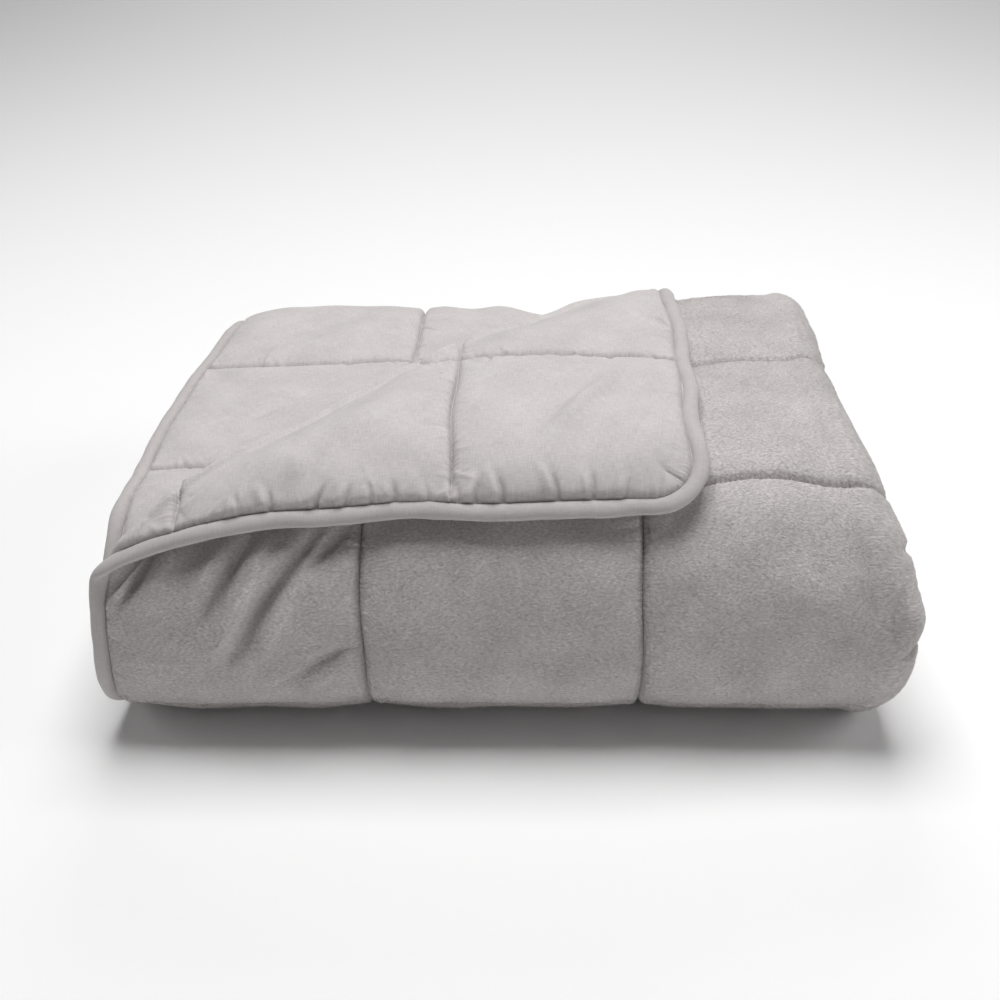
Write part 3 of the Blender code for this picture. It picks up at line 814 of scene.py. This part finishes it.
# Folds of the turned corner, in the columns of the folds above: a long soft ridge towards its tip,
# the creases that run to its border, those that spread from one point of its border, and the pair at
# its front seam
FLAP_FOLDS = (
    (0.150, 0.044, 0.026, 0.119, -0.002, 0.50, 0.0050, 0.0044),
    (0.152, 0.058, 0.032, 0.132, -0.002, 0.50, 0.0065, -0.0036),
    (0.094, 0.040, 0.058, 0.014, -0.002, 0.70, 0.0028, -0.0024),
    (0.090, 0.034, 0.056, 0.013, -0.002, 0.70, 0.0030, 0.0020),
    (0.116, 0.042, 0.082, 0.013, -0.002, 0.70, 0.0030, -0.0020),
    (0.222, 0.0125, 0.282, 0.044, 0.000, 0.06, 0.0024, -0.0026),
    (0.222, 0.0125, 0.258, 0.058, 0.000, 0.06, 0.0026, 0.0020),
    (0.222, 0.0125, 0.236, 0.066, 0.000, 0.06, 0.0026, -0.0024),
    (0.222, 0.0125, 0.200, 0.030, 0.000, 0.06, 0.0024, -0.0020),
    (0.222, 0.0125, 0.180, 0.040, 0.000, 0.06, 0.0026, 0.0018),
    (0.0200, 0.2530, 0.0660, 0.2430, 0.0010, 0.50, 0.0036, -0.0028),
    (0.0200, 0.2630, 0.0600, 0.2540, 0.0010, 0.50, 0.0040, 0.0022),
)
# The tucks along its front seam: v, how far they reach in, how far they drift aside, depth
TUCKS = (
    (0.0985, 0.026, 0.0115, 0.0042),
    (0.0775, 0.020, 0.0025, 0.0036),
    (0.0575, 0.017, -0.0045, 0.0030),
    (0.1310, 0.024, 0.0100, 0.0044),
    (0.1490, 0.022, -0.0046, 0.0036),
    (0.1575, 0.017, 0.0040, 0.0032),
    (0.1960, 0.016, 0.0030, 0.0028),
    (0.2100, 0.013, 0.0020, 0.0024),
    (0.2270, 0.018, -0.0040, 0.0034),
    (0.2460, 0.020, -0.0080, 0.0042),
    (0.2710, 0.024, 0.0070, 0.0040),
    (0.2900, 0.016, 0.0040, 0.0030),
)
# Where a tuck starts, its bow, its onset and its half width.  A swell of cloth stands beside it: how
# far aside at its two ends, its onset, its half width, and its height as a share of the depth
TUCK_START = 0.0115
TUCK_BOW = 0.0012
TUCK_ONSET = 0.08
TUCK_WIDTH = 0.0015
SWELL_ASIDE = (0.0046, 0.0050)
SWELL_ONSET = 0.20
SWELL_WIDTH = 0.0032
SWELL_SHARE = 0.65
# The fold is pressed to an edge at its crest: how far past the crease, its height and half width,
# and how far it fades towards the left and the back border
CREST_PLACE = 0.0215
CREST_EDGE = 0.0036
CREST_WIDTH = 0.0028
CREST_FADE_U = 0.030
CREST_FADE_V = 0.070


def tuck_rows():
    """Each tuck and the swell beside it, as single folds."""
    rows = []
    for place, reach, drift, depth in TUCKS:
        end = TUCK_START + reach
        rows.append((TUCK_START, place, end, place + drift, TUCK_BOW, TUCK_ONSET, TUCK_WIDTH, -depth))
        beside, beyond = place + SWELL_ASIDE[0], place + drift + SWELL_ASIDE[1]
        rows.append((TUCK_START, beside, end, beyond, TUCK_BOW, SWELL_ONSET, SWELL_WIDTH,
                     SWELL_SHARE * depth))
    return rows


def past_crease(u, v):
    """The distance past the crease of a place on the gathered cloth."""
    return beyond_crease(*shifted(u, v, GATHERS))


def crest_edge(u, v):
    """The edge along the crest of the turned corner."""
    fade_u = np.clip((u - BINDING_WIDTH) / CREST_FADE_U, 0.0, 1.0)
    fade_v = np.clip((v - BINDING_WIDTH) / CREST_FADE_V, 0.0, 1.0)
    away = (past_crease(u, v) - CREST_PLACE) / CREST_WIDTH
    return CREST_EDGE * (fade_u * fade_v) * np.exp(-away ** 2)


def cotton_outer_relief(u, v):
    """Folds, puckers, unevenness and pressed edge of the turned corner."""
    puckers = puckered(u, v, seed=21, rise=0.0017, closest=0.0030, furthest=0.0080)
    waves = uneven(u, v, seed=22, rise=0.0014, shortest=0.035, longest=0.110)
    folds = puckers + waves + creased(u, v, FLAP_FOLDS) + creased(u, v, tuck_rows())
    return folds + crest_edge(u, v) + parted(u, v)


# Folds of the layer under it: one thin crease, in three stretches
UNDER_FOLDS = (
    (0.934, 0.274, 0.900, 0.236, 0.0010, 0.50, 0.0018, 0.0014),
    (0.906, 0.240, 0.870, 0.198, -0.0010, 0.50, 0.0018, 0.0014),
    (0.930, 0.262, 0.880, 0.202, 0.0000, 0.50, 0.0050, -0.0010),
)


def cotton_inner_relief(u, v):
    """Folds, puckers and unevenness of the layer under it."""
    puckers = puckered(u, v, seed=23, rise=0.0016, closest=0.0030, furthest=0.0090)
    waves = uneven(u, v, seed=24, rise=0.0016, shortest=0.040, longest=0.120)
    return puckers + waves + creased(u, v, UNDER_FOLDS) + parted(u, v)


# How near to a seam the mesh is fine, and less fine
COTTON_CLOSE = 0.0126
COTTON_NEAR = 0.0250
# Past the crease: where the turned corner shows, where its crest is, and how near to the edge the
# mesh is fine
FLAP_FROM = -0.02
CREST_FROM = -0.012
CREST_TO = 0.046
CREST_CLOSE = 0.008
# The layer under it: how far past the crease, seen from the other side, it shows, and where its thin
# crease runs, as u, v, slope, reach in u and half width
UNDER_FROM = -0.05
UNDER_CREASE = (0.90, 0.235, 1.15, 0.05, 0.012)


def cotton_outer_detail(u, v):
    """Fine on the turned corner: at its seams, its crest and its folds."""
    beyond = past_crease(u, v)
    levels = graded_levels(np.minimum(*seam_distance(u, v)), COTTON_CLOSE, COTTON_NEAR)
    levels = np.maximum(levels, np.where((beyond > CREST_FROM) & (beyond < CREST_TO), 2, 1))
    levels = np.maximum(levels, np.where(np.abs(beyond - CREST_PLACE) < CREST_CLOSE, 4, 1))
    return np.where(beyond > FLAP_FROM, levels, 1)


def cotton_inner_detail(u, v):
    """Fine at the seams that show beside the turned corner, and on its thin crease."""
    beyond = beyond_crease(BLANKET_WIDTH - u, v)
    levels = graded_levels(np.minimum(*seam_distance(u, v)), COTTON_CLOSE, COTTON_NEAR)
    at_u, at_v, slope, reach, width = UNDER_CREASE
    crease = (np.abs(u - at_u) < reach) & (np.abs(v - at_v - (u - at_u) * slope) < width)
    return np.where(beyond > UNDER_FROM, np.maximum(levels, np.where(crease, 4, 1)), 1)


cotton = cotton_material("woven_cotton", "d1cccb", "b8b3b2")
cotton_lines_v = cell_lines(SEAMS_V, (36, 40, 30) + (12,) * 6, (UNDER, UNDER))
cotton_outer = face_panel(
    "cotton_outer", cell_lines(SEAMS_U[:4], (36, 40, 20), (UNDER, 0)), cotton_lines_v, -1,
    cotton_outer_relief, cotton_outer_detail, cotton,
)
cotton_inner = face_panel(
    "cotton_inner", cell_lines(SEAMS_U[3:], (14, 40, 36), (0, UNDER)), cotton_lines_v, -1,
    cotton_inner_relief, cotton_inner_detail, cotton,
)
for piece in (cotton_outer, cotton_inner):
    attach(piece, "root")
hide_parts("quilt")


# ---------------------------------------------------------------------------------------------
# Binding.  A cotton tape folded round the raw edge and filled by it, so that it stands as a round
# edge 11 mm wide.  It is sewn down on both faces, and runs round the four sides and corners.
# ---------------------------------------------------------------------------------------------
# Its section, how many sides that has, and the step from one section to the next along the sides and
# round the corners
TAPE_WIDTH = 0.0106
TAPE_THICKNESS = 0.0088
BINDING_SIDES = 20
STATION = 0.0030
CORNER_STATION = STATION * 0.7
# Its drag lines: how many waves, how many times each repeats round the blanket, how often it turns
# round the tape on the way, and its height
DRAGS = 60
DRAG_WAVES = (30, 200)
DRAG_SLANTS = (-2, 3)
DRAG_RISE = 0.0060
# How it wanders on the rim: how many waves, how many times each repeats, its reach and its start
WANDERS = 16
WANDER_WAVES = (20, 70)
WANDER_REACH = 0.00016
WANDER_STARTS = (0, 7)
# How far it is pushed on to the edge of the quilt, and the radius at which its weave runs round it
TAPE_SUNK = 0.0004
TAPE_RADIUS = 0.0055


def rim_stations(inset):
    """Places round the blanket, their way out, and the distance run, at this inset from the edge."""
    radius = CORNER_RADIUS - inset
    right, front = BLANKET_WIDTH - inset, BLANKET_LENGTH - inset
    end_u, end_v = BLANKET_WIDTH - CORNER_RADIUS, BLANKET_LENGTH - CORNER_RADIUS
    sides = (
        ((CORNER_RADIUS, inset), (end_u, inset), (0.0, -1.0)),
        ((right, CORNER_RADIUS), (right, end_v), (1.0, 0.0)),
        ((end_u, front), (CORNER_RADIUS, front), (0.0, 1.0)),
        ((inset, end_v), (inset, CORNER_RADIUS), (-1.0, 0.0)),
    )
    places, ways = [], []
    for start, end, way in sides:
        start, end, way = np.array(start), np.array(end), np.array(way)
        count = round(math.dist(start, end) / STATION)
        for step in range(count):
            places.append(start + (end - start) * step / count)
            ways.append(way)
        centre = end - way * radius
        turns = round(radius * math.pi / 2 / CORNER_STATION)
        for step in range(turns):
            angle = math.pi / 2 * step / turns
            turned = np.array((way[0] * math.cos(angle) - way[1] * math.sin(angle),
                               way[0] * math.sin(angle) + way[1] * math.cos(angle)))
            places.append(centre + turned * radius)
            ways.append(turned)
    places, ways = np.array(places), np.array(ways)
    steps = np.linalg.norm(places - np.roll(places, 1, axis=0), axis=1)
    return places, ways, np.cumsum(steps)


def tape_unevenness(run, angle):
    """How the tape swells round its section along its drag lines, and how it wanders on the rim."""
    chance = np.random.default_rng(31)
    swell = np.zeros((len(run), len(angle)))
    for _ in range(DRAGS):
        waves = chance.integers(*DRAG_WAVES)
        swell += chance.normal(0.0, DRAG_RISE) * np.sin(
            2 * math.pi * waves * run[:, None] / run[-1] + chance.integers(*DRAG_SLANTS) * angle[None, :]
            + chance.uniform(0, 2 * math.pi)
        )
    wander = np.zeros(len(run))
    for _ in range(WANDERS):
        waves = 2 * math.pi * chance.integers(*WANDER_WAVES) * run / run[-1]
        wander += chance.normal(0.0, WANDER_REACH) * np.sin(waves + chance.uniform(*WANDER_STARTS))
    return swell, wander


def build_binding():
    """An oval tube round the rim, a little uneven, with the slanting drag lines of sewn tape."""
    places, ways, run = rim_stations(BINDING_WIDTH)
    angle = np.linspace(0, 2 * math.pi, BINDING_SIDES, endpoint=False)
    swell, wander = tape_unevenness(run, angle)
    # Where a bend spreads or crowds the cloth, the tape keeps its own width
    inner, outer = (laid(*(places + ways * edge).T, np.zeros(len(run))) for edge in (0.0, BINDING_WIDTH))
    kept = BINDING_WIDTH / np.linalg.norm(outer - inner, axis=-1)
    reach = TAPE_WIDTH / 2 * (1 + swell)
    thick = TAPE_THICKNESS / 2 * (1 + swell)
    out = (TAPE_WIDTH / 2 - TAPE_SUNK + wander[:, None] + reach * np.cos(angle)) * kept[:, None]
    u = places[:, 0, None] + ways[:, 0, None] * out
    v = places[:, 1, None] + ways[:, 1, None] * out
    points = laid(u, v, thick * np.sin(angle)).reshape(-1, 3)
    ring = np.arange(len(run))[:, None] * BINDING_SIDES
    ahead = np.roll(ring, -1, axis=0)
    side = np.arange(BINDING_SIDES)[None, :]
    after = (side + 1) % BINDING_SIDES
    corners = np.stack((ahead + side, ahead + after, ring + after, ring + side), axis=-1).ravel()
    sizes = np.full(len(corners) // 4, 4)
    flat = np.broadcast_arrays(angle[None, :] * TAPE_RADIUS, run[:, None])
    material = cotton_material("binding_cotton", "c4bfbe", "b4afae")
    return smooth_mesh("binding_tape", points, corners, sizes, np.stack(flat, axis=-1).reshape(-1, 2),
                       material)


binding = build_binding()
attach(binding, "root")
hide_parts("binding")


# ---------------------------------------------------------------------------------------------
# Pile.  The polyester pile of the minky stands on the plush wherever it isn't pressed between
# layers, as short tufts that lean the way it is brushed.  It is knitted into the plush.
# ---------------------------------------------------------------------------------------------
# Real tufts are finer, and these are as coarse as they need to be to show.  PILE_LENGTHS are the
# least and greatest share of the length, and PILE_DEPTH is how far a root goes into the cloth
PILE_LENGTH = 0.0016
PILE_LENGTHS = (0.6, 1.3)
PILE_WIDTH = 0.00032
PILE_DEPTH = 0.0001
# Its lean over the cloth, in degrees, and the spreads of the lean, the brushing and the twist
PILE_LEAN = 13.0
LEAN_SPREAD = 9.0
BRUSH_SPREAD = 0.60
TWIST_SPREAD = 0.35
# A tuft is a bundle of round fibres, so it is shaded as the cloth it stands on, within this spread
SHADE_SPREAD = 0.22
# It is short beside a seam, down to this share, and full from one and a half times this distance on
SEAM_PILE = 0.0016
SHORTEST_PILE = 0.3
# A place is free where nothing stands over it.  The look starts this far out of the cloth, passes a
# second point, and goes this far.  What lies as low as this and faces down as steeply isn't free
LOOK_START = 0.004
LOOK_THROUGH = 0.005
FREE_SPACE = 0.024
LOW = 0.004
FACING_DOWN = -0.6


def all_layers(pieces):
    """Every piece in one search tree, to find what lies over what."""
    points, faces = [], []
    for piece in pieces:
        mesh = piece.data
        mesh.calc_loop_triangles()
        place = np.empty(len(mesh.vertices) * 3)
        mesh.vertices.foreach_get("co", place)
        corner = np.empty(len(mesh.loop_triangles) * 3, int)
        mesh.loop_triangles.foreach_get("vertices", corner)
        faces.append(corner.reshape(-1, 3) + sum(len(block) for block in points))
        points.append(place.reshape(-1, 3))
    return BVHTree.FromPolygons(np.concatenate(points).tolist(), np.concatenate(faces).tolist())


def exposed(layers, u, v, side):
    """Which flat places on a face have free space over them."""
    lift = quilted(u, v)
    start = laid(u, v, side * (lift + LOOK_START))
    out = laid(u, v, side * (lift + LOOK_THROUGH)) - start
    out /= np.linalg.norm(out, axis=-1)[:, None]
    free = [layers.ray_cast(a, b, FREE_SPACE)[0] is None for a, b in zip(start.tolist(), out.tolist())]
    return np.array(free) & ((start[:, 2] > LOW) | (out[:, 2] > FACING_DOWN))


def triangles(panel):
    """The corners of a panel's triangles, folded and flat."""
    mesh = panel.data
    mesh.calc_loop_triangles()
    corners = np.empty(len(mesh.loop_triangles) * 3, int)
    loops = np.empty(len(mesh.loop_triangles) * 3, int)
    mesh.loop_triangles.foreach_get("vertices", corners)
    mesh.loop_triangles.foreach_get("loops", loops)
    places = np.empty(len(mesh.vertices) * 3)
    mesh.vertices.foreach_get("co", places)
    flat = np.empty(len(mesh.loops) * 2)
    mesh.uv_layers["flat"].data.foreach_get("uv", flat)
    return places.reshape(-1, 3)[corners.reshape(-1, 3)], flat.reshape(-1, 2)[loops.reshape(-1, 3)]


def pile(name, panel, layers, count, seed):
    """Tufts over the free parts of a plush panel, brushed across it, each a single narrow blade."""
    points, flat = triangles(panel)
    middle = flat.mean(axis=1)
    free = exposed(layers, middle[:, 0], middle[:, 1], 1.0)
    points, flat = points[free], flat[free]
    edge, other = points[:, 1] - points[:, 0], points[:, 2] - points[:, 0]
    out = np.cross(edge, other)
    area = np.linalg.norm(out, axis=-1)
    out /= np.maximum(area, 1e-12)[:, None]
    # The way across the blanket, as it lies in each triangle
    run, rise = flat[:, 1] - flat[:, 0], flat[:, 2] - flat[:, 0]
    across = edge * rise[:, 1, None] - other * run[:, 1, None]
    across *= np.sign(run[:, 0] * rise[:, 1] - rise[:, 0] * run[:, 1])[:, None]
    across /= np.maximum(np.linalg.norm(across, axis=-1), 1e-12)[:, None]
    along = np.cross(out, across)
    chance = np.random.default_rng(seed)
    pick = chance.choice(len(points), count, p=area / area.sum())
    first, second = np.sqrt(chance.random(count))[:, None], chance.random(count)[:, None]
    from_seam = np.minimum(*seam_distance(middle[free][pick, 0], middle[free][pick, 1]))
    grown = np.clip(from_seam / SEAM_PILE - 0.5, SHORTEST_PILE, 1.0)
    root = points[pick, 0] + first * (1 - second) * edge[pick] + first * second * other[pick]
    spot = flat[pick, 0] + first * (1 - second) * run[pick] + first * second * rise[pick]
    turn = chance.normal(0.0, BRUSH_SPREAD, count)[:, None]
    lean = np.radians(chance.normal(PILE_LEAN, LEAN_SPREAD, count))[:, None]
    length = PILE_LENGTH * (grown * chance.uniform(*PILE_LENGTHS, count))[:, None]
    roll = chance.normal(0.0, TWIST_SPREAD, count)[:, None]
    out, across, along = out[pick], across[pick], along[pick]
    forward = across * np.cos(turn) + along * np.sin(turn)
    aside = np.cross(out, forward)
    width = (aside * np.cos(roll) + out * np.sin(roll)) * PILE_WIDTH / 2
    tip = root + (forward * np.cos(lean) + out * np.sin(lean)) * length
    root = root - out * PILE_DEPTH
    blades = np.stack((root - width, root + width, tip), axis=1)
    # Every blade faces out
    facing = (np.cross(blades[:, 1] - blades[:, 0], blades[:, 2] - blades[:, 0]) * out).sum(-1) < 0
    blades[facing] = blades[facing][:, ::-1]
    blades[:, :, 2] = np.maximum(blades[:, :, 2], 0.0)
    tufts = smooth_mesh(
        name, blades.reshape(-1, 3), np.arange(count * 3), np.full(count, 3),
        np.repeat(spot, 3, axis=0), plush,
    )
    shade = out + chance.normal(0.0, SHADE_SPREAD, (count, 3))
    shade /= np.linalg.norm(shade, axis=-1)[:, None]
    tufts.data.normals_split_custom_set(np.repeat(shade, 3, axis=0).tolist())
    return tufts


layers = all_layers((plush_outer, plush_inner, cotton_outer, cotton_inner, binding))
# Name, panel, how many blades, and the seed of their places
for name, panel, count, seed in (
    ("minky_pile_1", plush_outer, 190000, 41),
    ("minky_pile_2", plush_outer, 190000, 42),
    ("minky_pile_3", plush_inner, 50000, 43),
):
    tufts = pile(name, panel, layers, count, seed)
    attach(tufts, "root")


# ---------------------------------------------------------------------------------------------
# Quilting stitches.  A grey polyester thread sews the faces and the filling together along every
# seam, and the binding to the rim, with a 3.2 mm lockstitch that is drawn down into the cloth.
# ---------------------------------------------------------------------------------------------
THREAD = 0.00027
THREAD_SIDES = 5
# Along one stitch, as shares of its length, and there its height and thickness in threads
STITCH_PLACES = (0.08, 0.30, 0.70, 0.92)
STITCH_HEIGHTS = (-0.8, 0.4, 0.4, -0.8)
STITCH_FULLNESS = (0.5, 1.0, 1.0, 0.5)
# A step out of the cloth that gives its way up, the step along a seam, and how far the thread stands
# over the cloth
STEP_OUT = 0.0005
SEAM_STEP = 0.0008
THREAD_STAND = 0.0002


def seam_shade_thread_material():
    """Spun polyester thread: dull, and darker than the cloth as painted shade for the groove of each seam.
    """
    material = bpy.data.materials.new("sewing_thread_painted_shade")
    material.use_nodes = True
    shader = material.node_tree.nodes["Principled BSDF"]
    # Its colour is darkened past the cloth's as painted shade, and it stands in for the shade that falls
    # in a seam's groove
    shader.inputs["Base Color"].default_value = linear("7d7978")
    shader.inputs["Roughness"].default_value = 0.85
    shader.inputs["Specular IOR Level"].default_value = 0.2
    return material


def stitches(name, rows):
    """Short stitches one after another along rows of (u, v, w) places, as thread standing in the seam."""
    rings = []
    for u, v, w in rows:
        points = laid(u, v, w)
        run = np.concatenate(([0.0], np.cumsum(np.linalg.norm(np.diff(points, axis=0), axis=1))))
        starts = np.arange(0.0, run[-1] - STITCH, STITCH)
        at = starts[:, None] + np.array(STITCH_PLACES) * STITCH
        line = np.stack([np.interp(at, run, points[:, axis]) for axis in range(3)], axis=-1)
        above = laid(u, v, w + np.sign(w) * STEP_OUT) - points
        up = np.stack([np.interp(at, run, above[:, axis]) for axis in range(3)], axis=-1)
        up /= np.linalg.norm(up, axis=-1)[..., None]
        ahead = np.repeat((line[:, 3] - line[:, 0])[:, None], len(STITCH_PLACES), axis=1)
        ahead /= np.linalg.norm(ahead, axis=-1)[..., None]
        aside = np.cross(ahead, up)
        sunk = np.array(STITCH_HEIGHTS)[None, :, None] * THREAD
        thick = np.array(STITCH_FULLNESS)[None, :, None] * THREAD
        turn = np.arange(THREAD_SIDES) * 2 * math.pi / THREAD_SIDES
        ring = [line + up * (sunk + thick * math.sin(a)) + aside * thick * math.cos(a) for a in turn]
        rings.append(np.stack(ring, axis=2).reshape(-1, len(STITCH_PLACES) * THREAD_SIDES, 3))
    points = np.concatenate(rings)
    low = np.arange(len(STITCH_PLACES) - 1)[:, None] * THREAD_SIDES
    high = low + THREAD_SIDES
    around = np.arange(THREAD_SIDES)[None, :]
    after = (around + 1) % THREAD_SIDES
    faces = np.stack((low + around, low + after, high + after, high + around), axis=-1).reshape(-1)
    corners = (faces[None, :] + np.arange(len(points))[:, None] * points.shape[1]).ravel()
    sizes = np.full(len(corners) // 4, 4)
    points = points.reshape(-1, 3)
    points[:, 2] = np.maximum(points[:, 2], 0.0)
    return smooth_mesh(name, points, corners, sizes, points[:, :2], seam_shade_thread_material())


def thread_row(side, u, v):
    """The places of the thread along a seam of one face."""
    return u, v, side * (np.maximum(quilted(u, v), THINNEST) + THREAD_STAND)


def seam_rows(side, low_u, high_u, low_v, high_v):
    """The seams of one face inside a range of the flat blanket."""
    u, v = np.arange(low_u, high_u, SEAM_STEP), np.arange(low_v, high_v, SEAM_STEP)
    across = SEAMS_U[(SEAMS_U > low_u) & (SEAMS_U < high_u)]
    along = SEAMS_V[(SEAMS_V > low_v) & (SEAMS_V < high_v)]
    rows = [thread_row(side, np.full(len(v), seam), v) for seam in across]
    return rows + [thread_row(side, u, np.full(len(u), seam)) for seam in along]


# The seams that can be seen: side, and the range in u and in v
SEWN = (
    (1.0, 0.0, 0.499, 0.013, 1.487),
    (-1.0, 0.013, 0.30, 0.013, 0.42),
    (-1.0, 0.60, 0.987, 0.013, 0.45),
)
sewing = stitches("quilting_stitches", [row for seen in SEWN for row in seam_rows(*seen)])
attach(sewing, "root")


# ---------------------------------------------------------------------------------------------
# The studio: a pale floor, broad soft lights and the camera, which stands 0.9 m in front of the
# blanket's middle and 0.56 m up.
# ---------------------------------------------------------------------------------------------
FLOOR_REACH = 6.0
# Name, place, the point it faces, side and watts of each square lamp
LAMPS = (
    ("overhead", (0.0, 0.1, 2.2), (0.0, 0.0, 0.1), 1.4, 41.0),
    ("back", (0.0, 1.8, 1.8), (0.0, 0.0, 0.1), 1.4, 3.0),
    ("left_side", (-2.0, -0.1, 1.2), (0.0, 0.0, 0.1), 1.2, 5.0),
    ("right_side", (2.0, -0.1, 1.2), (0.0, 0.0, 0.1), 1.2, 11.5),
    ("right_front", (1.5, -1.8, 1.2), (0.0, 0.0, 0.1), 1.4, 2.6),
    ("low_front", (0.0, -2.4, 0.5), (0.0, 0.0, 0.1), 1.6, 3.2),
    ("backdrop", (0.0, 3.4, 2.6), (0.0, 3.4, 0.0), 2.0, 40.0),
)
CAMERA_PLACE = (0.03636, -0.90371, 0.55657)
# How far it looks down, aside and askew, in degrees
CAMERA_TURN = (28.637, -2.514, -1.385)
SENSOR_WIDTH = 36.0
# The focal length, as a multiple of the sensor's width
LENS_LENGTH = 1.4


def paper_floor():
    """A sheet of matt white paper, much wider than the view."""
    far = FLOOR_REACH
    mesh = bpy.data.meshes.new("floor")
    mesh.from_pydata([(-far, -far, 0), (far, -far, 0), (far, far, 0), (-far, far, 0)], [], [(0, 1, 2, 3)])
    floor = bpy.data.objects.new("floor", mesh)
    bpy.context.scene.collection.objects.link(floor)
    paper = bpy.data.materials.new("pale_floor")
    paper.use_nodes = True
    shader = paper.node_tree.nodes["Principled BSDF"]
    shader.inputs["Base Color"].default_value = linear("fdfdfd")
    shader.inputs["Roughness"].default_value = 0.9
    mesh.materials.append(paper)
    return floor


def dim_world():
    """A faint even light from all round, so that no shadow is black."""
    world = bpy.data.worlds.new("studio")
    world.use_nodes = True
    background = world.node_tree.nodes["Background"]
    background.inputs["Color"].default_value = (1.0, 1.0, 1.0, 1.0)
    background.inputs["Strength"].default_value = 0.02
    return world


def hang_lamp(name, place, target, size, power):
    """A square soft light that faces a point."""
    lamp = bpy.data.lights.new(name, "AREA")
    lamp.shape = "SQUARE"
    lamp.size = size
    lamp.energy = power
    holder = bpy.data.objects.new(name, lamp)
    holder.location = place
    holder.rotation_euler = (Vector(target) - Vector(place)).to_track_quat("-Z", "Y").to_euler()
    bpy.context.scene.collection.objects.link(holder)


def stand_camera():
    """The camera, with its way ahead, right and top worked out from its three turns."""
    down, aside, roll = (math.radians(turn) for turn in CAMERA_TURN)
    ahead = Vector((math.sin(aside) * math.cos(down), math.cos(aside) * math.cos(down), -math.sin(down)))
    level = Vector((math.cos(aside), -math.sin(aside), 0.0))
    up = level.cross(ahead)
    right = math.cos(roll) * level + math.sin(roll) * up
    top = -math.sin(roll) * level + math.cos(roll) * up
    lens = bpy.data.cameras.new("camera")
    lens.sensor_width = SENSOR_WIDTH
    lens.lens = LENS_LENGTH * SENSOR_WIDTH
    camera = bpy.data.objects.new("camera", lens)
    turned = Matrix((right, top, -ahead)).transposed().to_4x4()
    camera.matrix_world = Matrix.Translation(CAMERA_PLACE) @ turned
    bpy.context.scene.collection.objects.link(camera)
    return camera


bpy.context.scene.view_settings.view_transform = "Standard"
paper_floor()
bpy.context.scene.world = dim_world()
for lamp in LAMPS:
    hang_lamp(*lamp)
bpy.context.scene.camera = stand_camera()
